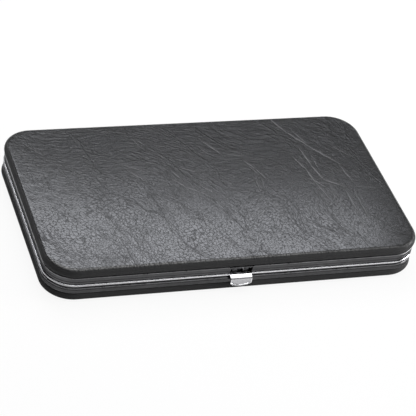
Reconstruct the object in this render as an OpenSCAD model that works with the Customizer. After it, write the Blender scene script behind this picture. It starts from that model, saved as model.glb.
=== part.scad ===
// Framed manicure case: two leather-covered halves in rolled metal frames, hinged at the back and
// held shut by a lift tab, with the scissors in the lid and the other instruments in the tray.
// Z = 0 is the face it rests on, X runs along the long side, and the lift tab faces -Y.

/* [Case] */
// Width over the frames, along X
case_w = 140.5; // [115:0.5:180]
// Depth over the frames, along Y
case_d = 80; // [78:0.5:110]
// Corner radius of the frames in plan
corner_r = 11; // [9:0.5:14]
// Height of each half, from its flat outside to the mouth
half_h = 6.9; // [6.8:0.1:9]
// Extra height of the padding in the middle of the lid
crown_h = 0.3; // [0.1:0.05:0.6]

/* [Leather cover] */
// Thickness of the leather
leather_t = 0.9; // [0.6:0.1:1.1]
// Radius of the roll over the edge
roll_r = 1.93; // [1.6:0.01:2.2]
// How far the roll stands out past the frame
roll_out = 0.32; // [0.2:0.02:0.5]

/* [Frame] */
// Thickness of the frame's metal
frame_t = 0.5; // [0.4:0.05:0.6]
// From the mouth to the frame's web
web_drop = 0.45; // [0.42:0.01:0.6]
// From the mouth to the frame's outer edge
frame_h = 3.35; // [3.2:0.05:3.5]
// From the mouth to the step in the frame's outside
step_drop = 1.15; // [1.1:0.05:1.3]
// Depth of that step
step_in = 0.35; // [0.2:0.05:0.4]
// Width of the frame's channel, over both walls
channel_w = 3.4; // [3.3:0.05:3.8]
// Height of the channel's inner wall, from the mouth
inner_wall_h = 2.6; // [2.2:0.1:2.7]
// Radius of the fine groove along the outside
groove_r = 0.16; // [0.1:0.02:0.2]

/* [Mouth rim] */
// Radius of the bright bead at the mouth
bead_r = 0.36; // [0.3:0.02:0.38]
// How far the bead stands out past the frame
bead_out = 0.12; // [0:0.02:0.2]
// Thickness of the rim's metal
rim_t = 0.34; // [0.25:0.01:0.34]
// Height of the rim's inner leg, from the mouth
rim_leg_h = 2.4; // [1.8:0.1:2.5]

/* [Layers] */
// Thickness of the padding under the leather
padding_t = 0.6; // [0.4:0.1:0.8]
// Thickness of the stiff board
board_t = 0.8; // [0.6:0.1:0.9]
// Thickness of the lining
lining_t = 0.3; // [0.2:0.05:0.4]
// Space between one layer and the next
layer_gap = 0.05; // [0.03:0.01:0.1]

/* [Hinges] */
// From the middle of the case to the middle of each hinge
hinge_x = 36; // [28:1:40]
// Length of each hinge
hinge_len = 24; // [18:1:28]
// Length of the knuckle that belongs to the lid
lid_knuckle_len = 9; // [6:0.5:10]
// Radius of the barrel
barrel_r = 0.9; // [0.8:0.05:1]
// Radius of the hinge pin
hinge_pin_r = 0.4; // [0.3:0.05:0.5]
// From the frame's outer face to the hinge axis
hinge_out = 1; // [1:0.05:1.2]
// Thickness of a hinge leaf
leaf_t = 0.35; // [0.3:0.01:0.35]
// Radius of a leaf rivet
leaf_rivet_r = 0.5; // [0.4:0.05:0.6]

/* [Lift tab] */
// Width of the tab
tab_w = 8; // [7.4:0.1:9]
// Thickness of its metal
tab_t = 0.6; // [0.5:0.05:0.65]
// From the frame's outer face to the front of the thumb pad
tab_out = 1.9; // [1.7:0.05:2.2]
// From the mouth down to the lowest point of the thumb pad
pad_h = 3.75; // [3.4:0.05:4]
// Rise of the pad's curved lower edge at its sides
pad_curve = 0.9; // [0.5:0.1:1.2]
// Depth of the dish in the thumb pad
dish_depth = 0.15; // [0.1:0.05:0.2]
// Width of the raised edge round the dish
dish_edge = 0.45; // [0.3:0.05:0.6]
// Radius of the latch pin
latch_pin_r = 0.4; // [0.3:0.05:0.45]
// From the frame's outer face in to the latch pin
latch_in = 1.5; // [1.45:0.05:1.6]
// From the mouth up to the latch pin
latch_up = 2.2; // [2.1:0.05:2.2]
// Width of the catch tooth
tooth_w = 3.6; // [3:0.1:4.4]
// How far the tooth reaches in past the frame's outer face
tooth_reach = 0.7; // [0.6:0.05:0.75]
// From the mouth down to the top of the slot for the tooth
slot_drop = 1.5; // [1.4:0.05:1.55]
// Height of that slot
slot_h = 1.4; // [1.3:0.05:1.5]

/* [Scissors] */
// Length of the blades from the pivot
blade_len = 34; // [28:1:36]
// Width of a blade at the pivot
blade_w = 7; // [6:0.5:8]
// Thickness of each half
scissors_t = 1.5; // [1.2:0.1:1.5]
// From the pivot to the middle of a finger ring, along the scissors
ring_x = 44; // [38:1:46]
// From the scissors' middle line to the middle of a finger ring
ring_y = 11.2; // [10.8:0.1:12]
// Radius of the finger hole's round ends
finger_r = 7; // [6.5:0.1:7.5]
// Length of the finger hole's straight sides
finger_straight = 5; // [3:0.5:6]
// Width of the metal round the finger hole
ring_w = 2.6; // [2:0.1:3]
// Radius of the pivot screw
pivot_r = 1.2; // [1:0.1:1.5]

/* [Tweezers] */
// Length of the tweezers
tweezers_len = 84; // [70:1:95]
// Width of the arms at the tail
tweezers_w = 9; // [7:0.5:10]
// Width of the slanted tips
tip_w = 3; // [2:0.25:4]
// Thickness of an arm
arm_t = 0.8; // [0.6:0.1:0.9]
// Gap between the tips at rest
tip_gap = 1.6; // [1:0.1:1.6]

/* [Nail file] */
// Length of the file
file_len = 96; // [80:1:100]
// Width of the file's blade
file_w = 6.5; // [5:0.5:8]
// Thickness of the file's blade
file_t = 1; // [0.8:0.1:1.4]
// Length of the handle
handle_len = 38; // [36:1:42]
// Width of the handle
handle_w = 8.5; // [7.5:0.5:10]
// Thickness of the handle
handle_t = 3; // [2.4:0.1:3.2]

/* [Cuticle pusher] */
// Length of the pusher
pusher_len = 98; // [85:1:105]
// Radius of its shaft
pusher_r = 1.6; // [1.2:0.1:1.7]
// Width of its spoon end
spoon_w = 5; // [4:0.25:6]

/* [Elastic] */
// Width of the elastic
elastic_w = 8; // [6:0.5:9]
// Thickness of the elastic
elastic_t = 0.45; // [0.3:0.05:0.5]
// Space between the elastic and an instrument
elastic_gap = 0.1; // [0.05:0.05:0.15]

/* [Hidden] */
$fn = 64;

// Clearances
fit_gap = 0.03; // a pin that turns in its bore
rivet_gap = 0.02; // a rivet in its hole
grip_gap = 0.1; // cover and board inside the frame's channel
part_gap = 0.15; // pieces that pass each other
over = 1; // how far a cut runs past what it cuts
seat_gap = 0.05; // instruments on the lining

// Leather roll: its centre, in from the frame's outer face and down from the mouth
roll_in = roll_r - roll_out;
roll_drop = half_h - roll_r;
tuck_in = frame_t + grip_gap;
tuck_top = step_drop + frame_t + part_gap;

// Layers, as distances down from the mouth
padding_out = half_h - leather_t - layer_gap;
board_out = padding_out - padding_t - layer_gap;
lining_out = board_out - board_t - layer_gap;
floor_drop = lining_out - lining_t;
board_in = max(tuck_in + leather_t + grip_gap, roll_in + layer_gap);
board_top = web_drop + frame_t + 2 * part_gap;
lining_in = channel_w + layer_gap;
trim_in = lining_in + lining_t + layer_gap;
trim_w = 0.35;
edge_flat = 0.04;
inside_in = trim_in + trim_w;

// Crown: how far in from the frames its plan starts, the fine step round it, its base and its grid
crown_in = 6;
crown_step = 0.02;
crown_base = 0.1;
crown_cells = [14, 8];

// Hinges
hinge_y = case_d / 2 + hinge_out;
knuckle_gap = 0.2;
leaf_start = 0.1;
leaf_end = 3;
leaf_top = web_drop - layer_gap;
leaf_low = leaf_top - leaf_t;
leaf_rivet_x = 8;
rivet_tail_r = leaf_rivet_r + 0.3;
leaf_rivet_in = step_in + frame_t + rivet_tail_r + layer_gap;
rivet_tail_t = 0.1;
rim_gap_end = 3.3;

// Lift tab and what carries it
pin_y = -case_d / 2 + latch_in;
curl_r = 0.85;
tab_top = 0.3;
fold_r = 0.45;
notch_w = tab_w + 0.3;
notch_top = 2.9;
notch_in = channel_w - 0.4;
arm_half = 3.1;
spring_half = 1.1;
spring_room = 1.2;
ear_in = arm_half + 0.15;
ear_t = 0.55;
bracket_t = 0.5;
bracket_in = notch_in - layer_gap - bracket_t;
bracket_top = inner_wall_h - 0.1;
latch_rivet_r = 0.35;
latch_rivet_x = 2.3;
latch_rivet_up = 1.3;
tooth_play = 0.07;
tooth_top_r = norm([latch_in, latch_up + slot_drop]) + tooth_play;
tooth_low = slot_drop + 0.9;
tooth_start = slot_drop - 0.1;
dish_top = tab_top - fold_r - 0.2;

// Scissors, hung under the lid's lining
scissors_at = [-8, -10];
fixed_top = floor_drop - seat_gap;
fixed_low = fixed_top - scissors_t;
moving_top = fixed_low - 0.1;
moving_low = moving_top - scissors_t;
screw_head_r = 2.4;
screw_head_t = 0.5;
screw_slot_w = 0.6;
screw_slot_t = 0.2;
shank_w = 4.4;
ring_angle = atan2(ring_y, ring_x);
shank_loop_at = 25;
loop_half = elastic_w / 2 - 1;
ring_sag = finger_r - sqrt(finger_r * finger_r - loop_half * loop_half);

// Instruments that lie on the tray's lining, with their places across the tray
tray_z = -floor_drop + seat_gap;
tweezers_y = 20;
file_y = 2;
pusher_y = -15;
tweezers_tail = 44;
file_tail = 50;
pusher_tail = 50;
tail_len = 9;
arm_angle = atan2(tip_gap, tweezers_len - tail_len);
handle_bury = 8;
handle_r = 3;
spoon_len = 12;
left_band_x = -22;
right_band_x = 26;
band_end = 5;

// Shared shapes

// Rounded rectangle, this far in from the frames' outer faces
module plan(inset) {
    r = corner_r - inset;
    w = case_w - 2 * inset;
    d = case_d - 2 * inset;
    square([w - 2 * r, d], center = true);
    square([w, d - 2 * r], center = true);
    for (x = [-1, 1], y = [-1, 1])
        translate([x * (w / 2 - r), y * (d / 2 - r)])
            circle(r);
}

// Runs a section round the case: its X = 0 is the frames' outer face, and +X points outwards
module round_the_case() {
    sides = [case_w, case_d, case_w, case_d];
    lengths = [case_d, case_w, case_d, case_w];
    corner = [case_w / 2 - corner_r, case_d / 2 - corner_r];
    signs = [[1, 1], [-1, 1], [-1, -1], [1, -1]];
    for (k = [0:3]) {
        rotate([0, 0, 90 * k])
            translate([sides[k] / 2, lengths[k] / 2 - corner_r, 0])
                rotate([90, 0, 0])
                    linear_extrude(lengths[k] - 2 * corner_r)
                        children();
        translate([signs[k].x * corner.x, signs[k].y * corner.y, 0])
            rotate([0, 0, 90 * k])
                rotate_extrude(angle = 90)
                    translate([corner_r, 0])
                        children();
    }
}

// Rectangle from one corner to the other, with all four corners rounded
module soft_box(low, high, r) {
    translate([low.x + r, low.y])
        square([high.x - low.x - 2 * r, high.y - low.y]);
    translate([low.x, low.y + r])
        square([high.x - low.x, high.y - low.y - 2 * r]);
    for (x = [low.x + r, high.x - r], y = [low.y + r, high.y - r])
        translate([x, y])
            circle(r);
}

// Box from one corner to the other
module block(low, high) {
    translate(low)
        cube(high - low);
}

// Moves a piece drawn about the mouth to the mouth's height
module at_mouth() {
    translate([0, 0, half_h])
        children();
}

// The lid's half is the lower half turned over at the mouth
module lid_side() {
    at_mouth()
        mirror([0, 0, 1])
            children();
}

// Straight box across the front of the case, by insets from the frame's face and heights
module front_block(half_w, in_from, in_to, z_from, z_to) {
    y = -case_d / 2;
    block([-half_w, y + in_from, z_from], [half_w, y + in_to, z_to]);
}

// Covers, padding, boards and linings, drawn for the lower half

// Height of the crown over its plane, at a place from -1 to 1 across each side
function crown_at(u, v) = crown_step + crown_h * (1 - u * u) * (1 - v * v);

// Shallow pillow on the plane at this depth: a grid of points over a flat base
module crown(drop) {
    half = [case_w / 2 - crown_in, case_d / 2 - crown_in];
    last = [crown_cells.x, crown_cells.y];
    row = last.x + 1;
    corner = row * (last.y + 1);
    points = concat(
        [for (j = [0:last.y], i = [0:last.x])
            let (u = 2 * i / last.x - 1, v = 2 * j / last.y - 1)
                [half.x * u, half.y * v, crown_at(u, v)]],
        [for (c = [[-1, -1], [1, -1], [1, 1], [-1, 1]])
            [half.x * c.x, half.y * c.y, -crown_base]]
    );
    top = [for (j = [0:last.y - 1], i = [0:last.x - 1], half_cell = [0, 1])
        let (a = j * row + i)
            half_cell == 0 ? [a, a + row, a + row + 1] : [a, a + row + 1, a + 1]];
    sides = [
        concat([corner], [for (i = [0:last.x]) i], [corner + 1]),
        concat([corner + 1], [for (j = [0:last.y]) j * row + last.x], [corner + 2]),
        concat([corner + 2], [for (i = [last.x:-1:0]) last.y * row + i], [corner + 3]),
        concat([corner + 3], [for (j = [last.y:-1:0]) j * row], [corner])
    ];
    base = [[corner, corner + 1, corner + 2, corner + 3]];
    translate([0, 0, -drop])
        mirror([0, 0, 1])
            polyhedron(points, concat(top, sides, base));
}

module cover_section() {
    difference() {
        union() {
            intersection() {
                translate([-roll_in, -roll_drop])
                    circle(roll_r);
                translate([-roll_in, -half_h])
                    square([roll_r, half_h - frame_h]);
            }
            translate([-tuck_in - leather_t, -frame_h - grip_gap])
                square([leather_t, frame_h + grip_gap - tuck_top]);
        }
        translate([-roll_in, -roll_drop])
            circle(roll_r - leather_t);
    }
}

module cover_skin() {
    round_the_case()
        cover_section();
    translate([0, 0, -half_h])
        linear_extrude(leather_t)
            plan(roll_in);
}

module padding_slab() {
    translate([0, 0, -padding_out])
        linear_extrude(padding_t)
            plan(board_in);
}

module board_tray() {
    round_the_case()
        translate([-board_in - board_t, -board_out])
            square([board_t, board_out - board_top]);
    translate([0, 0, -board_out])
        linear_extrude(board_t)
            plan(board_in + board_t / 2);
}

module lining_tray(top) {
    round_the_case()
        translate([-lining_in - lining_t, -lining_out])
            square([lining_t, lining_out - top]);
    translate([0, 0, -lining_out])
        linear_extrude(lining_t)
            plan(lining_in + lining_t / 2);
}

module lower_cover() {
    color("#3a3b3d")
        at_mouth()
            difference() {
                cover_skin();
                front_block(tooth_w / 2 + 2 * part_gap, frame_t, tooth_reach + 2 * part_gap,
                    -slot_drop - slot_h - part_gap, -step_drop);
            }
}

module upper_cover() {
    color("#3a3b3d")
        lid_side()
            difference() {
                union() {
                    cover_skin();
                    crown(half_h);
                }
                crown(half_h - leather_t);
                front_block(notch_w / 2 + part_gap, tuck_in - grip_gap, channel_w, -frame_h, 0);
            }
}

module lower_padding() {
    color("#d9d4c4")
        at_mouth()
            padding_slab();
}

module upper_padding() {
    color("#d9d4c4")
        lid_side() {
            padding_slab();
            crown(padding_out);
        }
}

module lower_board() {
    color("#8c7a5e")
        at_mouth()
            board_tray();
}

module upper_board() {
    color("#8c7a5e")
        lid_side()
            difference() {
                board_tray();
                front_block(notch_w / 2 + part_gap, tuck_in, channel_w, -frame_h, 0);
            }
}

module lower_lining() {
    color("#2c2c30")
        at_mouth()
            lining_tray(web_drop + grip_gap);
}

module upper_lining() {
    color("#2c2c30")
        lid_side()
            lining_tray(web_drop + grip_gap);
}

// Frames, the bright rim and the lid's trim

module frame_section() {
    difference() {
        soft_box([-frame_t, -frame_h], [0, -step_drop], (frame_t - edge_flat) / 2);
        translate([0, -step_drop - frame_t - groove_r])
            circle(groove_r);
    }
    translate([-step_in - frame_t, -step_drop - frame_t])
        square([step_in + frame_t / 2, frame_t]);
    translate([-step_in - frame_t, -step_drop - frame_t])
        square([frame_t, step_drop + frame_t - web_drop]);
    translate([-channel_w, -web_drop - frame_t])
        square([channel_w - step_in, frame_t]);
    translate([-channel_w, -inner_wall_h])
        square([channel_w - notch_in, inner_wall_h - web_drop]);
}

// Holes for the leaf rivets, through the frame's web at the back
module leaf_rivet_places() {
    for (x = [-hinge_x, hinge_x], step = [-leaf_rivet_x, leaf_rivet_x])
        translate([x + step, case_d / 2 - leaf_rivet_in, 0])
            children();
}

module leaf_rivet_holes() {
    leaf_rivet_places()
        translate([0, 0, -web_drop - frame_t - over / 2])
            cylinder(h = web_drop + frame_t + over / 2, r = leaf_rivet_r + rivet_gap);
}

module lower_frame() {
    color("#2b2c2e")
        at_mouth()
            difference() {
                round_the_case()
                    frame_section();
                leaf_rivet_holes();
                front_block(tooth_w / 2 + part_gap, -over, tooth_reach + part_gap,
                    -slot_drop - slot_h, -slot_drop);
            }
}

module upper_frame() {
    color("#2b2c2e")
        lid_side()
            difference() {
                round_the_case()
                    frame_section();
                leaf_rivet_holes();
                front_block(notch_w / 2, -over, notch_in, -notch_top, 0);
                latch_rivet_places()
                    latch_rivet_hole();
            }
}

module rim_section() {
    translate([bead_out - bead_r, 0])
        circle(bead_r);
    translate([-inside_in, -bead_r])
        square([inside_in + bead_out - bead_r, rim_t]);
    translate([-inside_in, -rim_leg_h])
        square([trim_w, rim_leg_h - bead_r + rim_t]);
}

module mouth_rim() {
    color("#d8dade")
        at_mouth()
            difference() {
                round_the_case()
                    rim_section();
                front_block(notch_w / 2, -over, latch_in + tab_t / 2 + 2 * part_gap, -bead_r - over, over);
                for (x = [-hinge_x, hinge_x])
                    block([x - hinge_len / 2 - knuckle_gap, case_d / 2 - rim_gap_end, -bead_r - over],
                        [x + hinge_len / 2 + knuckle_gap, case_d / 2 + over, over]);
            }
}

module upper_trim() {
    color("#2b2c2e")
        lid_side()
            round_the_case()
                soft_box([-inside_in, -rim_leg_h], [-trim_in, -web_drop], (trim_w - edge_flat) / 2);
}

// Hinges: their leaves lie between the frames' webs, and the barrel stands behind the case

// A leaf of the lower half, with its knuckles between the given distances from the hinge's middle
module hinge_leaf(x, knuckles) {
    translate([x, 0, 0])
        difference() {
            union() {
                block([-hinge_len / 2, case_d / 2 - leaf_end, -leaf_top],
                    [hinge_len / 2, case_d / 2 - leaf_start, -leaf_low]);
                for (k = knuckles) {
                    block([k[0], case_d / 2 - leaf_end, -leaf_top], [k[1], hinge_y, -leaf_low]);
                    translate([k[0], hinge_y, 0])
                        rotate([0, 90, 0])
                            cylinder(h = k[1] - k[0], r = barrel_r);
                }
            }
            translate([-hinge_len / 2 - over, hinge_y, 0])
                rotate([0, 90, 0])
                    cylinder(h = hinge_len + 2 * over, r = hinge_pin_r + fit_gap);
            translate([-x, 0, 0])
                leaf_rivet_holes();
        }
}

function base_knuckles() = [
    [-hinge_len / 2, -lid_knuckle_len / 2 - knuckle_gap],
    [lid_knuckle_len / 2 + knuckle_gap, hinge_len / 2]
];

module left_hinge_base_leaf() {
    color("#b9bbc0")
        at_mouth()
            hinge_leaf(-hinge_x, base_knuckles());
}

module right_hinge_base_leaf() {
    color("#b9bbc0")
        at_mouth()
            hinge_leaf(hinge_x, base_knuckles());
}

module left_hinge_lid_leaf() {
    color("#b9bbc0")
        lid_side()
            hinge_leaf(-hinge_x, [[-lid_knuckle_len / 2, lid_knuckle_len / 2]]);
}

module right_hinge_lid_leaf() {
    color("#b9bbc0")
        lid_side()
            hinge_leaf(hinge_x, [[-lid_knuckle_len / 2, lid_knuckle_len / 2]]);
}

module hinge_pin(x) {
    translate([x - hinge_len / 2, hinge_y, half_h])
        rotate([0, 90, 0])
            cylinder(h = hinge_len, r = hinge_pin_r);
}

module left_hinge_pin() {
    color("#8f9197")
        hinge_pin(-hinge_x);
}

module right_hinge_pin() {
    color("#8f9197")
        hinge_pin(hinge_x);
}

module leaf_rivet() {
    head_z = -leaf_low - layer_gap;
    tail_z = -web_drop - frame_t - rivet_gap;
    translate([0, 0, tail_z - rivet_tail_t])
        cylinder(h = head_z - tail_z + rivet_tail_t, r = leaf_rivet_r);
    translate([0, 0, tail_z - rivet_tail_t])
        cylinder(h = rivet_tail_t, r = rivet_tail_r);
}

module base_leaf_rivets() {
    color("#8f9197")
        at_mouth()
            leaf_rivet_places()
                leaf_rivet();
}

module lid_leaf_rivets() {
    color("#8f9197")
        lid_side()
            leaf_rivet_places()
                leaf_rivet();
}

// Lift tab: a lever on a pin in the lid's front, whose tooth catches in the lower frame's slot

// Places its children on the latch pin's axis, which runs along X
module on_latch_pin() {
    translate([0, pin_y, half_h + latch_up])
        children();
}

module x_rod(half_len, r) {
    rotate([0, 90, 0])
        cylinder(h = 2 * half_len, r = r, center = true);
}

// Side view of the lever, drawn with X along the case's depth and Y up from the mouth
module lever_profile() {
    front = -case_d / 2 - tab_out;
    // ledge with its rounded fold
    difference() {
        union() {
            translate([front + fold_r, tab_top - tab_t])
                square([tab_out + latch_in + tab_t / 2 - fold_r, tab_t]);
            translate([front, -pad_h - over])
                square([tab_t, pad_h + over + tab_top - fold_r]);
            translate([front + fold_r, tab_top - fold_r])
                circle(fold_r);
        }
        translate([pin_y, latch_up])
            circle(latch_pin_r + fit_gap);
    }
    // arm up to the pin
    translate([pin_y - tab_t / 2, tab_top - tab_t])
        square([tab_t, latch_up - tab_top + tab_t]);
}

// Side view of the tooth: its top follows an arc round the pin, so that it swings out of the slot
module tooth_profile() {
    front = -case_d / 2;
    difference() {
        translate([front - tab_out + tab_t / 2, -tooth_low])
            square([tab_out - tab_t / 2 + tooth_reach, tooth_low - tooth_start]);
        translate([pin_y, latch_up])
            circle(tooth_top_r);
    }
}

// Extrudes a side view across the case, to this much on either side of the middle
module across(half_w) {
    translate([-half_w, 0, half_h])
        rotate([90, 0, 90])
            linear_extrude(2 * half_w)
                children();
}

// Front view of the thumb pad: straight sides and a curved lower edge
module pad_outline(inset) {
    half = tab_w / 2 - inset;
    edge_r = (half * half + pad_curve * pad_curve) / (2 * pad_curve);
    intersection() {
        translate([-half, -pad_h + inset])
            square([2 * half, pad_h + latch_up + over - inset]);
        translate([0, edge_r - pad_h + inset])
            circle(edge_r);
    }
    translate([-half, pad_curve - pad_h + inset])
        square([2 * half, pad_h + latch_up + over - inset - pad_curve]);
}

module dish() {
    intersection() {
        translate([0, -case_d / 2 - tab_out + dish_depth, half_h])
            rotate([90, 0, 0])
                linear_extrude(over)
                    pad_outline(dish_edge);
        block([-tab_w, -case_d, 0], [tab_w, 0, half_h + dish_top]);
    }
}

module latch_lever() {
    color("#e2e4e8")
        difference() {
            union() {
                intersection() {
                    across(tab_w / 2)
                        lever_profile();
                    translate([0, 0, half_h])
                        rotate([90, 0, 0])
                            linear_extrude(case_d)
                                pad_outline(0);
                }
                across(tooth_w / 2)
                    tooth_profile();
                on_latch_pin()
                    x_rod(arm_half, curl_r);
            }
            on_latch_pin() {
                x_rod(tab_w, latch_pin_r + fit_gap);
                x_rod(spring_room, curl_r + part_gap);
            }
            for (side = [-1, 1])
                translate([side * (arm_half + tab_w / 2), pin_y, half_h + tab_top + tab_w / 2 + part_gap])
                    cube([tab_w, 2 * latch_in, tab_w], center = true);
            dish();
        }
}

module latch_pin() {
    color("#8f9197")
        on_latch_pin()
            x_rod(ear_in + ear_t, latch_pin_r);
}

module latch_bracket() {
    color("#8f9197")
        difference() {
            union() {
                at_mouth()
                    front_block(ear_in + ear_t, bracket_in, bracket_in + bracket_t,
                        web_drop + part_gap, bracket_top);
                for (side = [-1, 1])
                    translate([side * (ear_in + ear_t / 2), 0, 0]) {
                        on_latch_pin()
                            x_rod(ear_t / 2, curl_r);
                        at_mouth()
                            front_block(ear_t / 2, latch_in, bracket_in + bracket_t,
                                latch_up - curl_r, bracket_top);
                    }
            }
            on_latch_pin()
                x_rod(tab_w, latch_pin_r + rivet_gap);
            lid_side()
                latch_rivet_places()
                    latch_rivet_hole();
        }
}

module latch_spring() {
    color("#c9cbd0")
        on_latch_pin()
            difference() {
                x_rod(spring_half, curl_r - grip_gap);
                x_rod(spring_half + over, latch_pin_r + 2 * fit_gap);
            }
}

module latch_rivet_places() {
    for (side = [-1, 1])
        translate([side * latch_rivet_x, -case_d / 2 + bracket_in, -latch_rivet_up])
            rotate([-90, 0, 0])
                children();
}

module latch_rivet_hole() {
    translate([0, 0, -over / 4])
        cylinder(h = channel_w - bracket_in + over / 2, r = latch_rivet_r + rivet_gap);
}

module latch_rivets() {
    color("#8f9197")
        lid_side()
            latch_rivet_places()
                cylinder(h = channel_w - bracket_in, r = latch_rivet_r);
}

// Elastic that holds the instruments

// Rectangular tunnel with rounded outer corners, as a section across the tray
module tunnel(mid, half_w, height) {
    out = elastic_gap + elastic_t;
    translate([mid, 0])
        soft_box([-half_w - out, -elastic_t], [half_w + out, height + out], elastic_t);
}

module tunnel_hole(mid, half_w, height) {
    translate([mid - half_w - elastic_gap, -over])
        square([2 * (half_w + elastic_gap), height + elastic_gap + over]);
}

// One band across the tray: middle, half width and height of what lies under it, for each
module elastic_band(x, held) {
    first = held[0][0] - held[0][1] - band_end;
    last = held[len(held) - 1][0] + held[len(held) - 1][1] + band_end;
    translate([x - elastic_w / 2, 0, half_h - floor_drop + seat_gap])
        rotate([90, 0, 90])
            linear_extrude(elastic_w)
                intersection() {
                    difference() {
                        union() {
                            translate([first, 0])
                                square([last - first, elastic_t]);
                            for (h = held)
                                tunnel(h[0], h[1], h[2]);
                        }
                        for (h = held)
                            tunnel_hole(h[0], h[1], h[2]);
                    }
                    translate([-case_d / 2, 0])
                        square([case_d, half_h]);
                }
}

// Height over the lining that the tweezers reach at a place along the tray
function tweezers_h(x) = 2 * arm_t + seat_gap + (tweezers_tail - x) * tan(arm_angle);

module left_elastic_band() {
    color("#26272a")
        elastic_band(left_band_x, [
            [pusher_y, pusher_r, 2 * pusher_r],
            [file_y, file_w / 2, (handle_t + file_t) / 2],
            [tweezers_y, tweezers_w / 2, tweezers_h(left_band_x - elastic_w / 2)]
        ]);
}

module right_elastic_band() {
    color("#26272a")
        elastic_band(right_band_x, [
            [pusher_y, pusher_r, 2 * pusher_r],
            [file_y, handle_w / 2, handle_t],
            [tweezers_y, tweezers_w / 2, tweezers_h(right_band_x - elastic_w / 2)]
        ]);
}

// Loop under the lid round a flat bar that runs along X, centred on the origin
module bar_loop(bar_w) {
    out = elastic_gap + elastic_t;
    low = fixed_low - elastic_gap;
    wide = bar_w / 2 + elastic_gap;
    difference() {
        block([-loop_half, -bar_w / 2 - out, low - elastic_t],
            [loop_half, bar_w / 2 + out, floor_drop - seat_gap]);
        block([-elastic_w, -wide, low], [elastic_w, wide, floor_drop + over]);
    }
}

module scissors_loops() {
    color("#26272a")
        at_mouth()
            translate([scissors_at.x, scissors_at.y, 0]) {
                rotate([0, 0, -ring_angle])
                    translate([shank_loop_at, 0, 0])
                        bar_loop(shank_w);
                translate([ring_x + finger_straight / 2 + finger_r + ring_w / 2, -ring_y, 0])
                    rotate([0, 0, 90])
                        bar_loop(ring_w + 2 * (ring_sag + seat_gap));
            }
}

// Scissors

module stadium(r) {
    square([finger_straight, 2 * r], center = true);
    for (side = [-1, 1])
        translate([side * finger_straight / 2, 0])
            circle(r);
}

// Plan of the half whose ring lies on the -Y side and whose blade lies on the +Y side
module scissors_half_plan() {
    difference() {
        union() {
            circle(blade_w / 2 + 0.6);
            polygon([
                [0, blade_w / 2 + 0.3],
                [-blade_len * 0.6, blade_w * 0.42],
                [-blade_len, 0.5],
                [-blade_len, -0.2],
                [-blade_len * 0.5, -0.6],
                [0, -blade_w / 2]
            ]);
            rotate(-ring_angle)
                polygon([
                    [0, -blade_w / 2],
                    [shank_loop_at * 0.5, -shank_w / 2],
                    [norm([ring_x, ring_y]) - finger_r - ring_w / 2 - finger_straight / 2, -shank_w / 2],
                    [norm([ring_x, ring_y]) - finger_r - ring_w / 2 - finger_straight / 2, shank_w / 2],
                    [shank_loop_at * 0.5, shank_w / 2],
                    [0, blade_w / 2]
                ]);
            translate([ring_x, -ring_y])
                stadium(finger_r + ring_w);
        }
        translate([ring_x, -ring_y])
            stadium(finger_r);
    }
}

module scissors_fixed_half() {
    color("#c8cacf")
        translate([scissors_at.x, scissors_at.y, half_h + fixed_low])
            linear_extrude(scissors_t)
                difference() {
                    scissors_half_plan();
                    circle(pivot_r + rivet_gap);
                }
}

module scissors_moving_half() {
    color("#c8cacf")
        translate([scissors_at.x, scissors_at.y, half_h + moving_low])
            linear_extrude(scissors_t)
                difference() {
                    mirror([0, 1])
                        scissors_half_plan();
                    circle(pivot_r + fit_gap);
                }
}

module scissors_screw() {
    color("#b0b2b8")
        translate([scissors_at.x, scissors_at.y, half_h])
            difference() {
                union() {
                    translate([0, 0, moving_low - screw_head_t - fit_gap])
                        cylinder(h = screw_head_t, r = screw_head_r);
                    translate([0, 0, moving_low - screw_head_t - fit_gap])
                        cylinder(h = fixed_top - moving_low + screw_head_t + fit_gap, r = pivot_r);
                }
                block([-screw_head_r - over, -screw_slot_w / 2, moving_low - screw_head_t - over],
                    [screw_head_r + over, screw_slot_w / 2, moving_low - screw_head_t + screw_slot_t]);
            }
}

// Tweezers

module arm_plan(start) {
    reach = tweezers_len - start;
    polygon([
        [0, tweezers_w / 2 - 0.6],
        [-0.6, tweezers_w / 2],
        [-reach * 0.45, tweezers_w / 2],
        [-reach + 1.6, tip_w / 2],
        [-reach, -tip_w / 2 + 0.4],
        [-reach * 0.45, -tweezers_w / 2],
        [-0.6, -tweezers_w / 2],
        [0, -tweezers_w / 2 + 0.6]
    ]);
}

module tweezers_lower_arm() {
    color("#c8cacf")
        translate([tweezers_tail, tweezers_y, half_h + tray_z]) {
            linear_extrude(arm_t)
                arm_plan(0);
            linear_extrude(2 * arm_t + seat_gap)
                intersection() {
                    arm_plan(0);
                    translate([-tail_len, -tweezers_w])
                        square([tail_len, 2 * tweezers_w]);
                }
        }
}

module tweezers_upper_arm() {
    color("#c8cacf")
        translate([tweezers_tail - tail_len - seat_gap, tweezers_y, half_h + tray_z + arm_t + seat_gap])
            rotate([0, arm_angle, 0])
                linear_extrude(arm_t)
                    arm_plan(tail_len + seat_gap);
}

// Nail file and cuticle pusher

module file_blade() {
    shoulder = file_len - handle_len + handle_bury;
    color("#aeb0b5")
        translate([file_tail - handle_len, file_y, half_h + tray_z + (handle_t - file_t) / 2])
            linear_extrude(file_t)
                polygon([
                    [handle_bury, -file_w / 2 + 1],
                    [handle_bury, file_w / 2 - 1],
                    [0, file_w / 2],
                    [-shoulder * 0.7, file_w / 2],
                    [-shoulder + handle_bury, 0.6],
                    [-shoulder + handle_bury, -0.6],
                    [-shoulder * 0.7, -file_w / 2],
                    [0, -file_w / 2]
                ]);
}

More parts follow.
